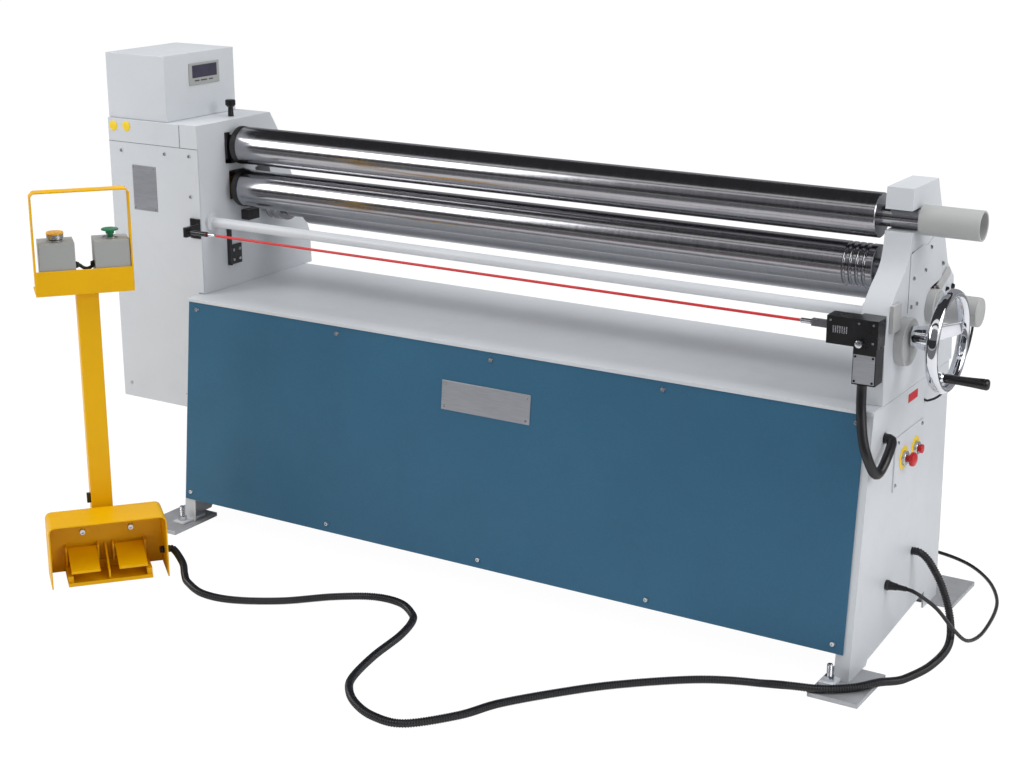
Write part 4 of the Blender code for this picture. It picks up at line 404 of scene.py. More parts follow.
# Geometry Nodes
def newTree(name, inputs):
    tree = bpy.data.node_groups.new(name, "GeometryNodeTree")
    tree.interface.new_socket("Geometry", in_out="INPUT", socket_type="NodeSocketGeometry")
    sockets = {}
    for label, kind, value in inputs:
        socket = tree.interface.new_socket(label, in_out="INPUT", socket_type=kind)
        if value is not None:
            socket.default_value = value
        sockets[label] = socket.identifier
    tree.interface.new_socket("Geometry", in_out="OUTPUT", socket_type="NodeSocketGeometry")
    return tree, tree.nodes.new("NodeGroupInput"), tree.nodes.new("NodeGroupOutput"), sockets


def growMesh(name, baseMesh, tree, sockets, values):
    # runs a tree on a base mesh, the result is a plain mesh
    base = placeObject(name + "_base", baseMesh)
    modifier = base.modifiers.new("grow", "NODES")
    modifier.node_group = tree
    for label, value in values.items():
        modifier[sockets[label]] = value
    bpy.context.view_layer.update()
    evaluated = base.evaluated_get(bpy.context.evaluated_depsgraph_get())
    grown = bpy.data.meshes.new_from_object(evaluated)
    grown.name = name
    base.modifiers.remove(modifier)
    bpy.data.objects.remove(base)
    return grown


def ribbedTubeTree():
    # a tube along the line, narrower at two of every four points
    tree, given, result, sockets = newTree("ribbedTube", [
        ("Radius", "NodeSocketFloat", 0.0085),
        ("Depth", "NodeSocketFloat", 0.18),
        ("Pitch", "NodeSocketFloat", 0.005),
        ("Sides", "NodeSocketInt", 16),
        ("Finish", "NodeSocketMaterial", None),
    ])
    toCurve = addNode(tree, "GeometryNodeMeshToCurve")
    resample = addNode(tree, "GeometryNodeResampleCurve", mode="LENGTH")
    quarter = addNode(tree, "ShaderNodeMath", {1: 0.25}, operation="MULTIPLY")
    index = addNode(tree, "GeometryNodeInputIndex")
    wave = addNode(tree, "ShaderNodeMath", {1: 4}, operation="MODULO")
    low = addNode(tree, "ShaderNodeMath", {1: 1.5}, operation="GREATER_THAN")
    drop = addNode(tree, "ShaderNodeMath", operation="MULTIPLY")
    share = addNode(tree, "ShaderNodeMath", {0: 1.0}, operation="SUBTRACT")
    setRadius = addNode(tree, "GeometryNodeSetCurveRadius")
    circle = addNode(tree, "GeometryNodeCurvePrimitiveCircle")
    toMesh = addNode(tree, "GeometryNodeCurveToMesh", {"Fill Caps": True})
    realize = addNode(tree, "GeometryNodeRealizeInstances")
    setMaterial = addNode(tree, "GeometryNodeSetMaterial")
    connect(tree, [
        (given, "Geometry", toCurve, "Mesh"), (toCurve, "Curve", resample, "Curve"),
        (given, "Pitch", quarter, 0), (quarter, 0, resample, "Length"),
        (index, 0, wave, 0), (wave, 0, low, 0), (low, 0, drop, 0), (given, "Depth", drop, 1), (drop, 0, share, 1),
        (resample, "Curve", setRadius, "Curve"), (share, 0, setRadius, "Radius"),
        (given, "Radius", circle, "Radius"), (given, "Sides", circle, "Resolution"),
        (setRadius, "Curve", toMesh, "Curve"), (circle, "Curve", toMesh, "Profile Curve"),
    ])
    if "Scale" in toMesh.inputs:
        connect(tree, [(share, 0, toMesh, "Scale")])
    connect(tree, [
        (toMesh, "Mesh", realize, "Geometry"), (realize, "Geometry", setMaterial, "Geometry"),
        (given, "Finish", setMaterial, "Material"), (setMaterial, "Geometry", result, "Geometry"),
    ])
    return tree, sockets


def screwTree():
    # a cap head with a hexagon socket on every point, turned to the point's own aim
    tree, given, result, sockets = newTree("screwHeads", [
        ("Radius", "NodeSocketFloat", 0.005),
        ("Height", "NodeSocketFloat", 0.003),
        ("Finish", "NodeSocketMaterial", None),
    ])
    points = addNode(tree, "GeometryNodeMeshToPoints")
    head = addNode(tree, "GeometryNodeMeshCone", {"Vertices": 24})
    socketCut = addNode(tree, "GeometryNodeMeshCylinder", {"Vertices": 6})
    cutRadius = addNode(tree, "ShaderNodeMath", {1: 0.5}, operation="MULTIPLY")
    topRadius = addNode(tree, "ShaderNodeMath", {1: 0.8}, operation="MULTIPLY")
    lift = addNode(tree, "ShaderNodeCombineXYZ")
    liftCut = addNode(tree, "GeometryNodeTransform")
    cut = addNode(tree, "GeometryNodeMeshBoolean", operation="DIFFERENCE")
    aim = addNode(tree, "GeometryNodeInputNamedAttribute", {"Name": "aim"}, data_type="FLOAT_VECTOR")
    align = addNode(tree, "FunctionNodeAlignRotationToVector", axis="Z")
    instance = addNode(tree, "GeometryNodeInstanceOnPoints")
    realize = addNode(tree, "GeometryNodeRealizeInstances")
    setMaterial = addNode(tree, "GeometryNodeSetMaterial")
    connect(tree, [(given, "Geometry", points, "Mesh"), (given, "Radius", cutRadius, 0),
        (given, "Radius", topRadius, 0), (topRadius, 0, head, "Radius Top"),
        (given, "Radius", head, "Radius Bottom"), (given, "Height", head, "Depth"),
        (cutRadius, 0, socketCut, "Radius"), (given, "Height", socketCut, "Depth"), (given, "Height", lift, "Z"),
        (socketCut, "Mesh", liftCut, "Geometry"), (lift, "Vector", liftCut, "Translation"), (head, "Mesh", cut, 0),
        (liftCut, "Geometry", cut, 1), (aim, "Attribute", align, "Vector"), (points, "Points", instance, "Points"),
        (cut, "Mesh", instance, "Instance"), (align, "Rotation", instance, "Rotation"),
        (instance, "Instances", realize, "Geometry"), (realize, "Geometry", setMaterial, "Geometry"),
        (given, "Finish", setMaterial, "Material"), (setMaterial, "Geometry", result, "Geometry")])
    return tree, sockets


ribTree, ribSockets = ribbedTubeTree()
headTree, headSockets = screwTree()


def facing(aim, points):
    return [(spot(*p), aim) for p in points]


def screws(name, places, radius, height, slotName="ground_steel", finish=screwSteel):
    # places are (point, aim) pairs
    base = bpy.data.meshes.new(name + "_points")
    base.from_pydata([tuple(p) for p, _ in places], [], [])
    aims = base.attributes.new("aim", "FLOAT_VECTOR", "POINT")
    for i, (_, aim) in enumerate(places):
        aims.data[i].vector = aim
    grown = growMesh(name, base, headTree, headSockets, {"Radius": radius, "Height": height, "Finish": finish})
    addPiece(name, grown, slotName, finish)


# Floor hose of the pedals
hose = {"radius": 0.0085, "depth": 0.16, "pitch": 0.0052, "sides": 16, "rest": 0.0088, "padTop": 0.0188,
    "guard": 0.131, "spacing": 0.004}
hosePoints = [postSpot(*p) for p in ((hose["guard"] - 0.01275, 0.055, 0.046),
    (hose["guard"] + 0.00425, 0.055, 0.046), (hose["guard"] + 0.0187, 0.0517, 0.04278))]
hosePoints += [spot(-0.628, -0.486, hose["rest"] * 3.1), spot(-0.602, -0.51, hose["rest"] * 1.5)]
hosePoints += [spot(x, y, hose["rest"]) for x, y in ((-0.572, -0.533), (-0.503, -0.563), (-0.423, -0.555),
    (-0.328, -0.503), (-0.246, -0.426), (-0.169, -0.378), (-0.1, -0.375), (-0.047, -0.407), (-0.021, -0.441),
    (-0.001, -0.515), (0.01, -0.625), (0.031, -0.724), (0.057, -0.773), (0.104, -0.816), (0.167, -0.843),
    (0.234, -0.836), (0.304, -0.753), (0.343, -0.671), (0.418, -0.569), (0.501, -0.476), (0.627, -0.372),
    (0.736, -0.324))]
hosePoints += [spot(*p) for p in ((0.799, -0.322, hose["padTop"]), (0.861, -0.301, hose["padTop"]),
    (0.912, -0.261, hose["padTop"]), (0.944, -0.216, hose["padTop"]), (0.974, -0.157, hose["rest"]),
    (0.998, -0.076, hose["rest"]), (1.004, 0.022, 0.0168), (0.985, 0.085, 0.05), (0.957, 0.106, 0.108),
    (0.927, 0.102, 0.16), (0.905, 0.1, 0.178), (0.886, 0.1, 0.178))]
hoseLine = smoothRoute(hosePoints, hose["spacing"], hose["rest"])
hoseBase = bpy.data.meshes.new("pedalHose_line")
hoseBase.from_pydata([tuple(p) for p in hoseLine], [(i, i + 1) for i in range(len(hoseLine) - 1)], [])
hoseMesh = growMesh("pedalHose", hoseBase, ribTree, ribSockets,
    {"Radius": hose["radius"], "Depth": hose["depth"], "Pitch": hose["pitch"], "Sides": hose["sides"],
    "Finish": finishes["black_rubber"]})
pedalHose = addPiece("pedalHose", hoseMesh, "black_rubber", replaced=["pedal_hose"])
print("hose:", round(routeLength(hoseLine), 3), "m")

# Power cord with its coil and plug
powerCord = {"radius": 0.004, "rest": 0.0043, "coilX": 0.53, "coilY": 0.37, "coilRadius": 0.048, "coilStep": 0.0088,
    "loops": 6, "loopPoints": 32, "plugZ": 0.0173, "plugRadius": 0.017, "pinShare": 0.56, "plugReach": 1.7,
    "glandX": 0.8883, "spacing": 0.012}
cordPoints = [spot(*p) for p in ((0.933, -0.05, 0.155), (0.94, -0.05, 0.155), (0.962, -0.045, 0.144),
    (0.99, -0.02, 0.112), (1.012, 0.022, 0.058), (1.028, 0.072, 0.016))]
cordPoints += [spot(x, y, powerCord["rest"]) for x, y in ((1.036, 0.151), (1.025, 0.272), (1.001, 0.359),
    (0.952, 0.446), (0.881, 0.514), (0.793, 0.546), (0.72, 0.532), (0.655, 0.487), (0.6, 0.447), (0.546, 0.4268),
    (0.531, 0.4268))]
cordLine = smoothRoute(cordPoints, powerCord["spacing"], powerCord["rest"])
# loops passed, steps outwards, steps upwards
coilTable = [(0, 1, 0), (3, -2, 0), (3.5, -2.5, 1), (3.75, -2.3, 1), (4, -1.6, 1), (4.25, -1.25, 1),
    (4.5, -1.25, 1), (5, -0.6, 1), (5.25, -0.25, 1), (5.5, -0.25, 1), (6, 0.4, 1)]


def coilShare(loops, column):
    for before, after in zip(coilTable, coilTable[1:]):
        if before[0] <= loops <= after[0]:
            share = (loops - before[0]) / (after[0] - before[0])
            return before[column] + (after[column] - before[column]) * share
    return coilTable[-1][column]


coilLine = []
for i in range(powerCord["loops"] * powerCord["loopPoints"] + 1):
    loops = i / powerCord["loopPoints"]
    reach = powerCord["coilRadius"] + powerCord["coilStep"] * coilShare(loops, 1)
    angle = math.tau * (loops + 0.25)
    coilLine.append(spot(powerCord["coilX"] + reach * math.cos(angle), powerCord["coilY"] + reach * math.sin(angle),
        powerCord["rest"] + powerCord["coilStep"] * coilShare(loops, 2)))
tail = coilLine[-1]
plugX = spot(powerCord["coilX"] - powerCord["coilRadius"] * powerCord["plugReach"], 0, 0).x
plugAt = Vector((plugX, tail.y, powerCord["plugZ"]))
coilLine += smoothRoute([(tail.x - powerCord["coilStep"], tail.y, tail.z),
    (tail.x - powerCord["coilRadius"], tail.y, tail.z), (plugX + 0.016, tail.y, plugAt.z),
    (plugX + 0.001, tail.y, plugAt.z)], powerCord["spacing"])
wholeCord = cordLine + coilLine[1:]
powerLead = roundCurve("powerLead", wholeCord, powerCord["radius"],
    ["power_cord", "power_cord_coil"])
glandProfile = [(0, 0), (0, 0.0105), (0.002, 0.011), (0.006, 0.011), (0.007, 0.0096), (0.01, 0.0092),
    (0.014, 0.0084), (0.018, 0.0078), (0.022, 0.0076), (0.026, 0.0062), (0.044, 0.0049), (0.0445, 0)]
gland = turnedPiece("powerGland", glandProfile, spot(powerCord["glandX"], -0.05, 0.155), "black_plastic",
    replaced=["power_cord_gland"], sides=32)
plugProfile = [(0, 0), (0, 0.0162), (0.0012, 0.017), (0.017, 0.017), (0.0185, 0.0155), (0.021, 0.0155),
    (0.0225, 0.0165), (0.024, 0.0145), (0.03, 0.0105), (0.034, 0.0078), (0.038, 0.0056), (0.0385, 0)]
pinProfile = [(0, 0), (0, 0.0024), (0.0178, 0.0024), (0.0195, 0.0014), (0.0195, 0)]
plugWork = bmesh.new()
lathe(plugWork, plugProfile, (plugX - 0.038, plugAt.y, plugAt.z), toRight, 32)
for way in (-1, 1):
    pinStart = Vector((plugX - 0.0375, plugAt.y + way * powerCord["plugRadius"] * powerCord["pinShare"], plugAt.z))
    lathe(plugWork, pinProfile, pinStart, toLeft, 16)
plug = addPiece("powerPlug", finishMesh(plugWork, "powerPlug"), "black_plastic", replaced=["power_plug"])
print("power cord:", round(routeLength(wholeCord), 3), "m")

# Rolls
roll = {"radius": 0.045, "start": -0.796, "end": 0.816, "edge": 0.0015, "journal": 0.0175, "left": -0.879,
    "right": 0.88, "topZ": 0.907, "topRight": 0.898, "topJournal": 0.021, "pinchZ": 0.803, "rearY": 0.125,
    "rearZ": 0.749, "chamfer": 0.001, "sides": 128}
wire = {"first": 0.752, "pitch": 0.014, "radius": 0.004, "arc": 8, "count": 4}
collar = {"left": -0.816, "right": -0.77, "radius": 0.044, "groove": 0.038, "sleeve": 0.033, "rollStart": -0.7}


def rollProfile(right, rightRadius, grooves):
    radius, start, end, edge = roll["radius"], roll["start"], roll["end"], roll["edge"]
    left, leftRadius, chamfer = roll["left"], roll["journal"], roll["chamfer"]
    made = [(left, 0), (left, leftRadius - chamfer), (left + chamfer, leftRadius), (start, leftRadius),
        (start, radius - edge), (start + edge, radius)]
    for i in range(grooves):
        groove = wire["first"] + i * wire["pitch"]
        made.append((groove, radius))
        for step in range(1, wire["arc"]):
            angle = math.pi * step / wire["arc"]
            made.append((groove + wire["radius"] - wire["radius"] * math.cos(angle),
                radius - wire["radius"] * math.sin(angle)))
        made.append((groove + wire["radius"] * 2, radius))
    return made + [(end - edge, radius), (end, radius - edge), (end, rightRadius), (right - chamfer, rightRadius),
        (right, rightRadius - chamfer), (right, 0)]


def rearRollProfile():
    radius, end, edge, journal, right = (roll[key] for key in ("radius", "end", "edge", "journal", "right"))
    step = (collar["right"] - collar["left"]) / 4
    made = [(roll["left"], 0), (roll["left"], journal), (collar["left"], journal), (collar["left"], 0.043),
        (-0.815, collar["radius"])]
    for i in range(2):
        start = step * (2 * i + 0.5) + collar["left"]
        made += [(start, collar["radius"]), (start + step / 2, collar["groove"]), (start + step, collar["radius"])]
    return made + [(-0.771, collar["radius"]), (collar["right"], 0.043), (collar["right"], collar["sleeve"]),
        (collar["rollStart"], collar["sleeve"]), (collar["rollStart"], 0.0435), (-0.6985, radius), (0.8145, radius),
        (end, 0.0435), (end, journal), (right, journal), (right, 0)]


for name, node, profile, y, z in (("topRoll", "top_roll", rollProfile(roll["topRight"], roll["topJournal"], 0), 0,
        roll["topZ"]), ("pinchRoll", "pinch_roll", rollProfile(roll["right"], roll["journal"], wire["count"]), 0,
        roll["pinchZ"]), ("rearRoll", "rear_roll", rearRollProfile(), roll["rearY"], roll["rearZ"])):
    turnedPiece(name, profile, spot(0, y, z), "ground_steel", None, node + "_body", [node], sides=roll["sides"])
turnedPiece("topRollHandle", [(0.8983, 0), (0.8983, 0.029), (0.8993, 0.03), (1.019, 0.03), (1.02, 0.0292),
    (1.02, 0.0268), (1.019, 0.026), (0.91, 0.026), (0.91, 0)], spot(0, 0, roll["topZ"]), "grey_paint", None,
    "top_roll_body", ["top_roll_handle"], sides=72)
print("rolls turned")

# Sheet metal, castings and the pedestal: CAD shapes with their edges rounded
roundedEdges = {
    "stand_left_side": 0.0012, "stand_right_side": 0.0012, "stand_tray": 0.0016, "front_panel": 0.0008,
    "left_end_frame": 0.003, "right_end_frame": 0.0045, "drive_cover": 0.0024, "control_box": 0.002,
    "rope_anchor": 0.001, "rope_switch_body": 0.0016, "rope_switch_rod": 0.0008,
    "electrical_cover": 0.0006, "foot_guard": 0.001, "pedal_base": 0.0008, "forward_pedal": 0.001,
    "reverse_pedal": 0.001, "pedestal_column": 0.0014, "button_box_left": 0.0022, "button_box_right": 0.0022,
    "gear_motor": 0.003,
}
for nodeName, edge in roundedEdges.items():
    refined(nodeName, edge)


coverShare = 0.45


def thinCover(work):
    # the cover is a thin plate, so its face comes nearer to the casting
    back = min(v.co.x for v in work.verts)
    for vertex in work.verts:
        vertex.co.x = back + (vertex.co.x - back) * coverShare


refined("right_end_cover", 0.0006, shape=thinCover)
refined("display_unit", 0.0008, finishes["box_grey"])
print("castings and sheet metal rounded")

# Tie bar between the end frames
tie = {"y": -0.1, "z": 0.733, "left": -0.85, "right": 0.855, "radius": 0.012, "flange": 0.0225}
turnedPiece("tieBar", [(tie["left"], 0), (tie["left"], tie["radius"]), (-0.8297, tie["radius"]),
    (-0.8297, tie["flange"]), (-0.823, tie["flange"]), (-0.822, 0.0215), (-0.8217, 0.0135), (-0.82, tie["radius"]),
    (0.825, tie["radius"]), (0.8267, 0.0135), (0.827, 0.0215), (0.828, tie["flange"]), (0.8347, tie["flange"]),
    (0.8347, tie["radius"]), (tie["right"], tie["radius"]), (tie["right"], 0)], spot(0, tie["y"], tie["z"]),
    "light_paint", replaced=["tie_bar"], sides=64)

# Handwheel with three flat dished spokes
wheel = {"x": 0.983, "y": -0.055, "z": 0.686, "radius": 0.094, "rim": 0.009, "rimDepth": 0.0125, "rimRings": 96,
    "rimSides": 24, "spokes": 3, "spokeWide": 0.034, "spokeNarrow": 0.026, "spokeThick": 0.0055, "spokeSteps": 8,
    "spokeSides": 16, "hubX": 0.944, "hub": 0.014, "bite": 0.004, "acrossPower": 0.45, "deepPower": 0.6,
    "gripY": -0.083, "gripZ": 0.62}
wheelWork = bmesh.new()
wheelCentre = spot(wheel["x"], wheel["y"], wheel["z"])
hubX = spot(wheel["hubX"], 0, 0).x
rimRings = []
for i in range(wheel["rimRings"]):
    angle = math.tau * i / wheel["rimRings"]
    out = Vector((0, math.cos(angle), math.sin(angle)))
    ringVerts = []
    for j in range(wheel["rimSides"]):
        turn = math.tau * j / wheel["rimSides"]
        deep = Vector((wheel["rimDepth"] * math.sin(turn), 0, 0))
        reach = wheel["radius"] + wheel["rim"] * math.cos(turn)
        ringVerts.append(wheelWork.verts.new(wheelCentre + out * reach + deep))
    rimRings.append(ringVerts)
skinRings(wheelWork, rimRings, closed=True)


def softened(value, power):
    return math.copysign(abs(value) ** power, value)


toGrip = math.atan2(wheel["gripZ"] - wheel["z"], wheel["gripY"] - wheel["y"])
for i in range(wheel["spokes"]):
    angle = toGrip + i * math.tau / wheel["spokes"]
    out = Vector((0, math.cos(angle), math.sin(angle)))
    side = Vector((0, -math.sin(angle), math.cos(angle)))
    rings = []
    for step in range(wheel["spokeSteps"] + 1):
        t = step / wheel["spokeSteps"]
        reach = wheel["hub"] + (wheel["radius"] - wheel["bite"] - wheel["hub"]) * t
        bow = 3 * t * t - 2 * t * t * t
        centre = Vector((hubX + (wheelCentre.x - hubX) * bow, wheelCentre.y, wheelCentre.z)) + out * reach
        half = (wheel["spokeWide"] + (wheel["spokeNarrow"] - wheel["spokeWide"]) * t) / 2
        ringVerts = []
        for k in range(wheel["spokeSides"]):
            turn = math.tau * k / wheel["spokeSides"]
            across = softened(math.cos(turn), wheel["acrossPower"]) * half
            deep = softened(math.sin(turn), wheel["deepPower"]) * (wheel["spokeThick"] / 2)
            ringVerts.append(wheelWork.verts.new(centre + side * across + Vector((deep, 0, 0))))
        rings.append(ringVerts)
    skinRings(wheelWork, rings)
lathe(wheelWork, [(0.85, 0), (0.85, 0.01), (0.914, 0.01), (0.914, 0.0215), (0.9155, 0.023), (0.936, 0.023),
    (0.937, 0.0245), (0.949, 0.0245), (0.952, 0.0225), (0.9535, 0.019), (0.956, 0.018), (0.9575, 0.0155),
    (0.9575, 0)], spot(0, wheel["y"], wheel["z"]), toRight, 56)
lathe(wheelWork, [(0.964, 0), (0.964, 0.0085), (0.966, 0.0105), (0.986, 0.0105), (0.9885, 0.0085), (0.9897, 0.0075),
    (0.9897, 0)], spot(0, wheel["gripY"], wheel["gripZ"]), toRight, 32)
addPiece("handwheelCasting", finishMesh(wheelWork, "handwheelCasting"), "chrome", None, "handwheel_body",
    ["handwheel"])
turnedPiece("handwheelGrip", [(0.99, 0), (0.99, 0.0078), (0.9915, 0.009), (1.0, 0.0094), (1.02, 0.0088),
    (1.045, 0.0096), (1.064, 0.0107), (1.068, 0.011), (1.07, 0.0104), (1.071, 0.011), (1.075, 0.011),
    (1.0775, 0.0092), (1.078, 0.006), (1.078, 0)], spot(0, wheel["gripY"], wheel["gripZ"]), "black_plastic", None,
    "grip_body", ["handwheel_grip"], sides=40)
print("handwheel built")

# Bearing disc of the handwheel and the position sensor
sensor = {"y": 0.105, "z": 0.71, "discDrop": 0.012, "leadRadius": 0.0025, "spacing": 0.008}
turnedPiece("handwheelBearing", [(0.8903, 0), (0.8903, 0.048), (0.908, 0.048), (0.91, 0.0462), (0.91, 0)],
    spot(0, wheel["y"], wheel["z"] - sensor["discDrop"]), "grey_paint", replaced=["handwheel_bearing"], sides=64)
turnedPiece("positionSensor", [(0.8903, 0), (0.8903, 0.036), (0.9065, 0.036), (0.908, 0.0345), (0.908, 0.03),
    (0.9925, 0.03), (0.9945, 0.0285), (0.995, 0.0265), (0.995, 0)], spot(0, sensor["y"], sensor["z"]), "grey_paint",
    replaced=["position_sensor"], sides=64)
sensorLine = smoothRoute([spot(*p) for p in ((0.98, 0.105, 0.6797), (0.97812, 0.106, 0.66253),
    (0.9706, 0.1082, 0.62476), (0.9518, 0.1112, 0.57325), (0.92172, 0.114, 0.52517), (0.89728, 0.115, 0.508),
    (0.886, 0.115, 0.508))], sensor["spacing"])
sensorLead = roundCurve("sensorLead", sensorLine, sensor["leadRadius"], ["sensor_cable"])

# Trip rope, its anchor and its switch
rope = {"y": -0.18, "z": 0.722, "left": -0.781, "right": 0.752, "radius": 0.003, "spans": 60}
ropeLine = [spot(rope["left"] + (rope["right"] - rope["left"]) * i / rope["spans"], rope["y"], rope["z"])
    for i in range(rope["spans"] + 1)]
ropeWork = bmesh.new()
for sleeve in ([(-0.7695, 0), (-0.7695, 0.0032), (-0.769, 0.0048), (-0.751, 0.0048), (-0.749, 0.0034), (-0.749, 0)],
        [(0.728, 0), (0.728, 0.0034), (0.73, 0.005), (0.75, 0.005), (0.7515, 0.0032), (0.7515, 0)]):
    lathe(ropeWork, sleeve, spot(0, rope["y"], rope["z"]), toRight, 24)
ropeSleeves = addPiece("ropeSleeves", finishMesh(ropeWork, "ropeSleeves"), "ground_steel", screwSteel, "rope_line")
tripRope = roundCurve("tripRope", ropeLine, rope["radius"], ["trip_rope"], ropeRed, "rope_line")
conduit = {"x": 0.864, "y": -0.1895, "bottom": 0.616, "radius": 0.01, "low": 0.434, "wallX": 0.888, "entryX": 0.886,
    "entryY": -0.111, "entryZ": 0.488, "spacing": 0.006}
cx, cy, cr, cb, cl = (conduit[key] for key in ("x", "y", "radius", "bottom", "low"))
ey, ez = conduit["entryY"], conduit["entryZ"]
conduitLine = smoothRoute([spot(*p) for p in ((cx, cy, cb - 0.001), (cx, cy, cb - cr * 1.5),
    (cx + cr * 0.3, cy - cr * 0.5, cb - cr * 5), (cx + cr * 1.4, cy - cr * 1.8, cb - cr * 10),
    (cx + cr * 2.5, cy - cr * 2, cb - cr * 13.5), (cx + cr * 3.7, cy - cr * 0.6, cl + cr * 0.9),
    (cx + cr * 4.2, cy + cr * 1.3, cl + cr * 0.7), (cx + cr * 4.5, cy + cr * 3.9, cl + cr * 2.9),
    (conduit["wallX"] + cr * 1.6, ey - cr * 0.3, ez - cr * 0.2), (conduit["entryX"], ey, ez))], conduit["spacing"])
switchLead = roundCurve("switchLead", conduitLine, cr, ["switch_conduit"])
boxPiece("switchCover", [((0.8478, -0.2013, 0.619), (0.8912, -0.1999, 0.676))], "ground_steel", plateSilver, 0.0004)
screws("switchScrews", facing(toFront, [(x, -0.2018, z)
    for x, z in ((0.8515, 0.623), (0.8875, 0.623), (0.8515, 0.672), (0.8875, 0.672))]), 0.0026, 0.0012,
    "black_plastic", finishes["black_plastic"])
spring = {"x": 0.803, "pitch": 0.0045, "turns": 7, "endX": 0.8052}
springBoxes = [((spring["x"] + spring["pitch"] * i, -0.2012, 0.713),
    (spring["endX"] + spring["pitch"] * i, -0.1998, 0.727)) for i in range(spring["turns"])]
boxPiece("switchSpring", springBoxes, "ground_steel", screwSteel, 0.0005)
screws("switchBodyScrews", facing(toFront, [(x, -0.2008, z)
    for x, z in ((0.856, 0.737), (0.885, 0.737), (0.885, 0.701), (0.798, 0.737))]), 0.0026, 0.0016)
turnedPiece("switchReset", [(0, 0), (0, 0.0035), (0.0015, 0.0072), (0.006, 0.008), (0.0068, 0.0072),
    (0.0069, 0.004), (0.02, 0.004), (0.02, 0)], spot(0.8588, -0.21, 0.698), "grey_paint", screwSteel, "rope_reset",
    ["rope_switch_reset"], toBack, 32)
print("trip rope and its switch built")

# Front panel: ten cap screws and a bare rating plate
panel = {"topY": -0.183, "topZ": 0.552, "slope": 0.1006, "plateLow": 0.408, "plateHigh": 0.474, "plateLeft": -0.104,
    "plateRight": 0.124, "plateBack": 0.0002, "plateFace": 0.0018}
panelAim = Vector((0, -1, panel["slope"])).normalized()


def onPanel(x, z, proud=0.0):
    return spot(x, panel["topY"] - (panel["topZ"] - z) * panel["slope"], z) + panelAim * proud


screws("panelScrews", [(onPanel(x, z), panelAim) for z, row in ((0.535, (-0.816, -0.398, 0.018, 0.436, 0.856)),
    (0.084, (-0.824, -0.409, 0.011, 0.431, 0.849))) for x in row], 0.0058, 0.0032)
plateCorners = [(panel["plate" + x], panel["plate" + z])
    for x, z in (("Left", "Low"), ("Right", "Low"), ("Right", "High"), ("Left", "High"))]
prismPiece("namePlate", [onPanel(x, z, panel["plateBack"]) for x, z in plateCorners],
    [onPanel(x, z, panel["plateFace"]) for x, z in plateCorners], "ground_steel", plateSilver, 0.0007)
screws("namePlateRivets", [(onPanel(x, z, panel["plateFace"]), panelAim) for x in (-0.095, 0.115)
    for z in (0.416, 0.466)], 0.0032, 0.0014)

# Housing and control box
boxPiece("housingSeams", [((-1.1112, -0.1398, 0.9114), (-0.83, -0.1392, 0.9124)),
    ((-0.884, -0.1398, 0.9124), (-0.883, -0.1392, 0.9655)), ((-1.1113, -0.1392, 0.9114), (-1.1108, 0.145, 0.9124))],
    "dark_steel", seamDark)
screws("housingScrews", facing(toFront, [(x, -0.1395, z)
    for x, z in ((-1.0715, 0.891), (-0.933, 0.893), (-0.856, 0.894), (-0.857, 0.797), (-1.085, 0.3),
    (-0.9, 0.3))]) + facing(toLeft, [(-1.111, y, z) for y in (-0.105, 0.115) for z in (0.3, 0.6, 0.88)]), 0.0045,
    0.0026)
for index, (x, z) in enumerate(((-1.093, 0.949), (-1.051, 0.951))):
    turnedPiece(f"housingDisc{index}", [(0, 0), (0, 0.0125), (0.0006, 0.0125), (0.0009, 0.012), (0.0009, 0)],
        spot(x, -0.1396, z), "yellow_paint", discYellow, axis=toFront, sides=40)
boxPiece("dataPlate", [((-1.039, -0.1408, 0.749), (-0.964, -0.1396, 0.859))], "ground_steel", plateSilver, 0.0004)
screws("dataPlateRivets", facing(toFront, [(x, -0.1408, z) for x in (-1.034, -0.969) for z in (0.754, 0.854)]),
    0.002, 0.001)
display = {"x": -0.9234, "front": -0.038, "rear": 0.051, "low": 1.063, "high": 1.093, "keyLow": 1.0545,
    "keyHigh": 1.0575}
boxPiece("displayWindow", [((display["x"], display["front"], display["low"]),
    (display["x"] + 0.001, display["rear"], display["high"]))], "black_plastic", displayGlass, 0.0003)
boxPiece("displayKeys", [((display["x"], near, display["keyLow"]), (display["x"] + 0.0011, far, display["keyHigh"]))
    for near, far in ((-0.03, -0.014), (-0.008, 0.014), (0.022, 0.036))], "black_plastic", seamDark, 0.0003)
knob = {"x": -0.866, "y": 0.03, "z": 0.968, "flutes": 24, "fluteReach": 0.0115}
knobWork = bmesh.new()
lathe(knobWork, [(-0.02, 0), (-0.02, 0.005), (0.0003, 0.005), (0.0003, 0.0068), (0.002, 0.0072), (0.0215, 0.0062),
    (0.0255, 0.0105), (0.027, 0.0118), (0.039, 0.0118), (0.0405, 0.0105), (0.0405, 0)],
    spot(knob["x"], knob["y"], knob["z"]), toTop, 48)
for i in range(knob["flutes"]):
    angle = math.tau * i / knob["flutes"]
    flute = spot(knob["x"] + knob["fluteReach"] * math.cos(angle), knob["y"] + knob["fluteReach"] * math.sin(angle),
        knob["z"])
    lathe(knobWork, [(0.0275, 0), (0.0275, 0.0009), (0.0385, 0.0009), (0.0385, 0)], flute, toTop, 6)
addPiece("lockKnob", finishMesh(knobWork, "lockKnob"), "black_plastic", None, "knob", ["lock_knob"])
cheek = {"back": -0.8298, "face": -0.8235, "half": 0.04, "inner": 0.027, "low": 0.866, "high": 0.94, "bar": 0.01}
boxPiece("rollCheek", [((cheek["back"], near, cheek["low"]), (cheek["face"], far, top))
    for near, far, top in ((-cheek["half"], -cheek["inner"], cheek["high"]),
    (cheek["inner"], cheek["half"], cheek["high"]), (-cheek["half"], cheek["half"], cheek["low"] + cheek["bar"]))],
    "dark_steel")
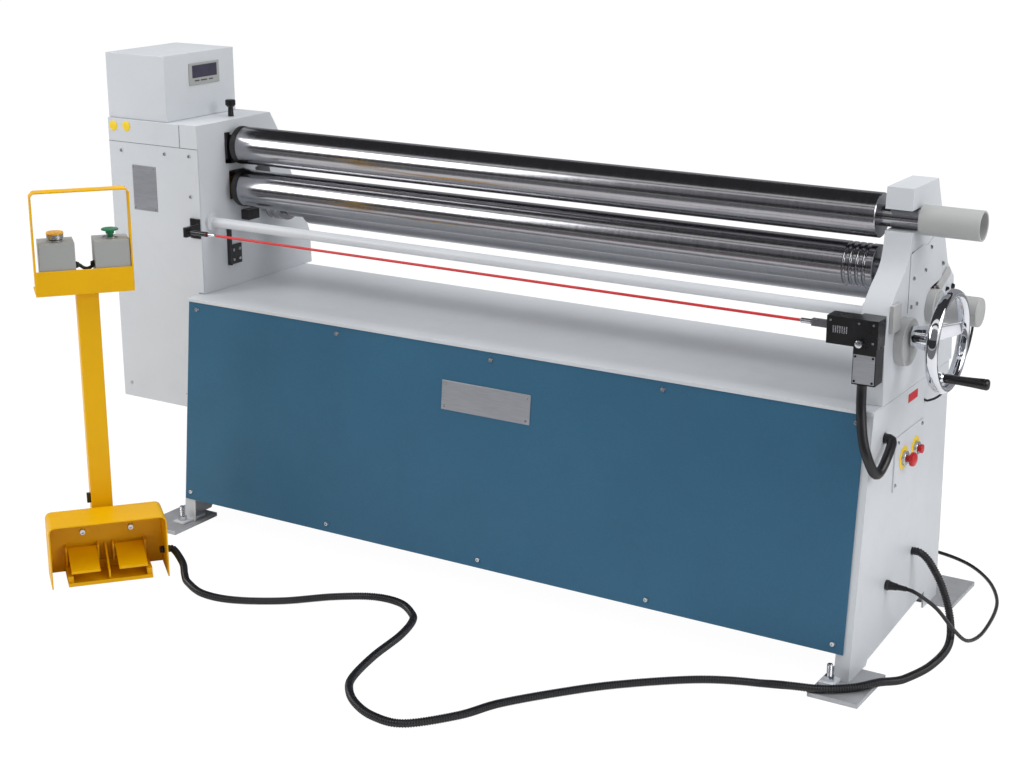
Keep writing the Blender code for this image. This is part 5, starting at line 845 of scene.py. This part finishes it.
# dark discs on the left ends of the top and pinch rolls, in front of the bronze bearings: painted shade standing
# for the shadow at the roll ends, not a real seal
for name, axisZ, body in (("topRollEndShadeDisc", roll["topZ"], "top_roll_body"),
        ("pinchRollEndShadeDisc", roll["pinchZ"], "pinch_roll_body")):
    turnedPiece(name, [(-0.812, 0), (-0.812, 0.0446), (-0.8108, 0.0456), (-0.7975, 0.0456), (-0.7963, 0.0451),
        (-0.7963, 0)], spot(0, 0, axisZ), "dark_steel", None, body, sides=64)
boxPiece("frameFoot", [((-0.8298, -0.048, 0.616), (-0.818, -0.042, 0.707)),
    ((-0.8298, -0.042, 0.616), (-0.824, 0, 0.664)), ((-0.8298, 0.01, 0.72), (-0.805, 0.05, 0.744))], "dark_steel",
    None, 0.0008)
screws("frameFootScrews", facing(toRight, [(-0.824, y, z) for z in (0.652, 0.628) for y in (-0.033, -0.01)]),
    0.0045, 0.003)
print("housing dressed")

# Right casting: cover screws, bolts and a small block behind the switch
casting = {"face": 0.89, "cover": 0.8921, "rib": 0.8975}
screws("coverScrews", facing(toRight, [(casting["cover"], y, z)
    for y, z in ((0.08, 0.8367), (0.053, 0.795), (-0.013, 0.791), (0.16, 0.788), (0.117, 0.746), (0.012, 0.735),
    (-0.02, 0.735))]), 0.0046, 0.0028)
screws("castingBolts", facing(toRight, [(casting["face"], y, z)
    for y, z in ((0.133, 0.735), (0.2, 0.725), (0.235, 0.7245))]), 0.0062, 0.005, "black_plastic",
    finishes["black_plastic"])
boxPiece("switchBlock", [((casting["face"], -0.133, 0.706), (0.899, -0.09, 0.761))], "grey_paint", None, 0.0012)
ribCorners = [(0.1256, 0.7487), (0.1915, 0.7756), (0.204, 0.7594), (0.1437, 0.7338)]
prismPiece("castingRib", [spot(casting["face"], y, z) for y, z in ribCorners],
    [spot(casting["rib"], y, z) for y, z in ribCorners], "grey_paint", None, 0.002)
print("right casting dressed")

# Switch plate on the right side panel
switchPlate = {"x": 0.8908, "back": 0.9038, "disc": 0.0245, "hole": 0.0139, "stem": 0.0085}
stopAt, sideAt = (-0.001, 0.416), (0.067, 0.418)
disc, hole, stem = (switchPlate[key] for key in ("disc", "hole", "stem"))
for name, place, shell in (("stop", stopAt, 0.0155), ("side", sideAt, 0.015)):
    turnedPiece(name + "BackPlate", [(0, hole), (0, disc), (0.0008, disc), (0.001, disc - 0.0004), (0.001, hole),
        (0, hole)], spot(switchPlate["x"], *place), "yellow_paint", discYellow)
    turnedPiece(name + "Collar", [(0, stem), (0, shell), (0.007, shell - 0.0005), (0.0079, shell - 0.0015),
        (0.0079, stem), (0, stem)], spot(switchPlate["x"] + 0.0002, *place), "ground_steel", screwSteel)
turnedPiece("stopMushroom", [(-0.038, 0), (-0.038, 0.007), (0, 0.007), (0, 0.0125), (0.0016, 0.0145),
    (0.004, 0.015), (0.008, 0.0142), (0.0105, 0.0115), (0.0117, 0.007), (0.012, 0)],
    spot(switchPlate["back"] + 0.0025, *stopAt), "red_plastic", None, "stop_mushroom", ["emergency_stop_button"])
turnedPiece("sidePush", [(-0.034, 0), (-0.034, 0.007), (0, 0.007), (0, 0.0086), (0.0008, 0.0094), (0.0048, 0.0094),
    (0.0056, 0.0086), (0.0058, 0.006), (0.0058, 0)], spot(switchPlate["back"] - 0.0017, *sideAt), "red_plastic",
    None, "side_push", ["side_button"])
screws("plateScrews", facing(toRight, [(switchPlate["x"], y, z)
    for y, z in ((-0.038, 0.458), (-0.042, 0.368), (0.1, 0.462))]), 0.0042, 0.0024)
boxPiece("plainLabel", [((0.8879, 0.014, 0.527), (0.8887, 0.068, 0.545))], "red_plastic", None, 0.0003)
print("switch plate dressed")

# Levelling pads with their bolts
pad = {"halfX": 0.0525, "halfY": 0.0775, "height": 0.01, "bolt": 0.006, "top": 0.052, "nut": 0.0105,
    "nutLow": 0.0166, "nutHeight": 0.01, "threads": 26, "root": 0.88}
threadTop = pad["top"] - pad["height"] - 0.002
thread = [(pad["height"] - 0.0004, 0), (pad["height"] - 0.0004, pad["bolt"])]
for i in range(pad["threads"]):
    z = pad["height"] + 0.0002 + threadTop * i / pad["threads"]
    thread += [(z, pad["bolt"]), (z + 0.0008, pad["bolt"] * pad["root"])]
thread += [(pad["top"] - 0.0012, pad["bolt"]), (pad["top"], pad["bolt"] * 0.8), (pad["top"], 0)]
nutTop = pad["nutLow"] + pad["nutHeight"]
nut = [(pad["nutLow"], 0), (pad["nutLow"], pad["nut"]), (nutTop, pad["nut"]), (nutTop, 0)]
for end, padY, boltY in (("front", -0.235, -0.253), ("rear", 0.325, 0.309)):
    for side, padX, boltX in (("left", -0.86, -0.835), ("right", 0.885, 0.855)):
        low, high = (padX - pad["halfX"], padY - pad["halfY"], 0), (padX + pad["halfX"], padY + pad["halfY"],
            pad["height"])
        boxPiece(f"levellingPad_{end}_{side}", [(low, high)], "dark_steel", padZinc, 0.0012,
            replaced=[f"levelling_foot_{end}_{side}"])
        boltWork = bmesh.new()
        lathe(boltWork, thread, spot(boltX, boltY, 0), toTop, 20)
        lathe(boltWork, nut, spot(boltX, boltY, 0), toTop, 6)
        addPiece(f"levellingBolt_{end}_{side}", finishMesh(boltWork, "bolt"), "dark_steel", screwSteel)
print("levelling feet built")

# Buttons on the pedestal
push = {"left": -0.0615, "right": 0.0575, "back": 0.0893 + 0.035, "top": 0.77, "ring": 0.0172, "hole": 0.008}
pushForms = {"stopPush": [(-0.0247, 0), (-0.0247, 0.007), (0.0094, 0.007), (0.015, 0.0075), (0.0153, 0.018),
    (0.0165, 0.019), (0.019, 0.019), (0.0204, 0.018), (0.0208, 0.012), (0.0208, 0)],
    "startPush": [(-0.023, 0), (-0.023, 0.0065), (0.0094, 0.0065), (0.0094, 0.0092), (0.0152, 0.0096),
    (0.0168, 0.0165), (0.0176, 0.0188), (0.0196, 0.019), (0.0208, 0.0176), (0.0214, 0.011), (0.0214, 0)]}
ringForm = [(0.0006, push["hole"]), (0.0006, push["ring"]), (0.0032, push["ring"]), (0.0042, push["ring"] - 0.0012),
    (0.0042, push["hole"]), (0.0006, push["hole"])]
for side, name, slotName, body, node in (("left", "stopPush", "amber_plastic", "stop_push", "stop_button"),
        ("right", "startPush", "green_plastic", "start_push", "start_button")):
    centre = postSpot(push[side], push["back"], push["top"])
    turnedPiece(name, pushForms[name], centre, slotName, None, body, [node], toTop)
    turnedPiece(name + "Ring", ringForm, centre, "ground_steel", screwSteel, axis=toTop)
turnedPiece("stopPushSkirt", [(0.0058, 0.0177), (0.0058, 0.0186), (0.015, 0.0186), (0.015, 0.0078),
    (0.0144, 0.0078), (0.0144, 0.0177), (0.0058, 0.0177)], postSpot(push["left"], push["back"], push["top"]),
    "ground_steel", screwSteel, "stop_push", axis=toTop)

# Short link between the two button boxes
boxLink = {"back": 0.112, "z": 0.716, "radius": 0.0038, "sides": 16, "left": -0.0232, "right": 0.0192,
    "spacing": 0.003}
linkLine = smoothRoute([postSpot(across, boxLink["back"], z)
    for across, z in ((-0.0235, 0.716), (-0.015, 0.716), (-0.006, 0.709), (0.003, 0.7065), (0.012, 0.71),
    (0.0165, 0.716), (0.0195, 0.716))], boxLink["spacing"])
linkWork = bmesh.new()
linkRings = []
for i, point in enumerate(linkLine):
    ahead = (linkLine[min(i + 1, len(linkLine) - 1)] - linkLine[max(i - 1, 0)]).normalized()
    sideways = ahead.cross(toTop).normalized()
    upward = sideways.cross(ahead)
    linkRings.append(circleVerts(linkWork, point, sideways, upward, boxLink["radius"], boxLink["sides"]))
skinRings(linkWork, linkRings)
boxAcross = (postSpot(1, 0, 0) - postSpot(0, 0, 0)).normalized()
for end, way in (("left", 1), ("right", -1)):
    lathe(linkWork, [(0, 0), (0, 0.0075), (0.0045, 0.0075), (0.005, 0.0068), (0.009, 0.0055), (0.009, 0)],
        postSpot(boxLink[end], boxLink["back"], boxLink["z"]), boxAcross * way, 6)
addPiece("boxLink", finishMesh(linkWork, "boxLink"), "black_rubber")

# Guard screws, the clip on the post and the divider between the pedals
guardAim = (postSpot(0, 0, 0) - postSpot(0, 1, 0)).normalized()
screws("guardScrews", [(postSpot(across, 0.1018, 0.093), guardAim) for across in (-0.05, 0.059)], 0.0075, 0.0055)
boxPiece("postClip", [((-0.033, 0.118, 0.155), (-0.024, 0.13, 0.177))], "black_plastic", None, 0.001, postSpot)
dividerOutline = [(0.012, 0.007), (0.0985, 0.007), (0.0985, 0.064), (0.085, 0.064), (0.012, 0.024)]
dividerSides = [[postSpot(across, back, z) for back, z in dividerOutline] for across in (-0.0035, 0.0005)]
prismPiece("pedalDivider", *dividerSides, "yellow_paint")
print("pedestal dressed")

# Studio
stage = {"floor": 60, "glow": 0.9, "white": 1.08, "key": 50, "fill": 46, "top": 94, "sky": 0.42, "floorTone": 0.93}
floorMaterial = bpy.data.materials.new("paleFloor")
floorMaterial.use_nodes = True
floorTree = floorMaterial.node_tree
floorShader = floorTree.nodes["Principled BSDF"]
floorShader.inputs["Base Color"].default_value = (stage["floorTone"], stage["floorTone"], stage["floorTone"], 1)
floorShader.inputs["Roughness"].default_value = 0.8
glow = addNode(floorTree, "ShaderNodeEmission", {"Strength": stage["white"]})
share = addNode(floorTree, "ShaderNodeMath", {1: stage["glow"]}, operation="MULTIPLY")
mixFloor = addNode(floorTree, "ShaderNodeMixShader")
connect(floorTree, [
    (addNode(floorTree, "ShaderNodeLightPath"), "Is Camera Ray", share, 0), (share, 0, mixFloor, 0),
    (floorShader, 0, mixFloor, 1), (glow, 0, mixFloor, 2),
    (mixFloor, 0, floorTree.nodes["Material Output"], "Surface"),
])
half = stage["floor"]
floorMesh = bpy.data.meshes.new("floor")
floorMesh.from_pydata([(-half, -half, 0), (half, -half, 0), (half, half, 0), (-half, half, 0)], [], [(0, 1, 2, 3)])
floorMesh.materials.append(floorMaterial)
floor = placeObject("floor", floorMesh)
floor.location.z = -0.0002

world = bpy.data.worlds.new("studio")
bpy.context.scene.world = world
world.use_nodes = True
worldTree = world.node_tree
background = worldTree.nodes["Background"]
background.inputs["Color"].default_value = (1, 1, 1, 1)
rays = addNode(worldTree, "ShaderNodeLightPath")
seen = addNode(worldTree, "ShaderNodeMath", operation="MAXIMUM")
seenAlso = addNode(worldTree, "ShaderNodeMath", operation="MAXIMUM")
level = addNode(worldTree, "ShaderNodeMapRange", {"To Min": stage["sky"], "To Max": 1.0})
connect(worldTree, [(rays, "Is Camera Ray", seen, 0), (rays, "Is Glossy Ray", seen, 1), (seen, 0, seenAlso, 0),
    (rays, "Is Transmission Ray", seenAlso, 1), (seenAlso, 0, level, "Value"),
    (level, "Result", background, "Strength")])


def softLamp(name, place, aim, size, power):
    data = bpy.data.lights.new(name, "AREA")
    data.shape = "RECTANGLE"
    data.size, data.size_y = size
    data.energy = power
    lamp = placeObject(name, data)
    lamp.location = place
    lamp.rotation_euler = (Vector(aim) - Vector(place)).to_track_quat("-Z", "Y").to_euler()
    return lamp


softLamp("keyLamp", (-2.7, -2.4, 2.3), (-0.9, 0, 0.8), (1.8, 1.5), stage["key"])
softLamp("fillLamp", (3.5, -0.2, 2.3), (0.8, 0, 0.8), (1.8, 1.8), stage["fill"])
topLamp = softLamp("topLamp", (0, 0.4, 3.8), (0, 0, 0.6), (4.6, 3.6), stage["top"])
topLamp.visible_glossy = False


def glossCard(name, corners, level):
    # a grey card that only mirror-like surfaces see, so that the rolls show bands
    material = bpy.data.materials.new(name)
    material.use_nodes = True
    tree = material.node_tree
    tree.nodes.remove(tree.nodes["Principled BSDF"])
    light = addNode(tree, "ShaderNodeEmission", {"Color": (level, level, level * 1.06, 1)})
    connect(tree, [(light, 0, tree.nodes["Material Output"], "Surface")])
    mesh = bpy.data.meshes.new(name)
    mesh.from_pydata(corners, [], [(0, 1, 2, 3)])
    mesh.materials.append(material)
    card = placeObject(name, mesh)
    for ray in ("camera", "diffuse", "shadow", "transmission"):
        setattr(card, "visible_" + ray, False)


cards = {"left": -14, "right": 10}


def uprightCorners(y, low, high):
    left, right = cards["left"], cards["right"]
    return [(left, y, low), (right, y, low), (right, y, high), (left, y, high)]


def levelCorners(z, near, far):
    left, right = cards["left"], cards["right"]
    return [(left, near, z), (right, near, z), (right, far, z), (left, far, z)]


glossCard("ceilingCard", levelCorners(4.5, -2.2, 5.5), 0.045)
glossCard("stripCard", levelCorners(4.5, -3.72, -3.02), 0.02)
glossCard("frontHighCard", uprightCorners(-5.0, 1.9, 4.6), 0.2)
glossCard("frontLowCard", uprightCorners(-5.0, 0.3, 1.9), 0.04)
glossCard("floorCard", levelCorners(0.004, -4.9, -1.3), 0.2)
glossCard("backFloorCard", levelCorners(0.004, 1.2, 5.4), 0.3)
glossCard("backCard", uprightCorners(5.5, 0.4, 4.4), 0.3)
print("studio lit")
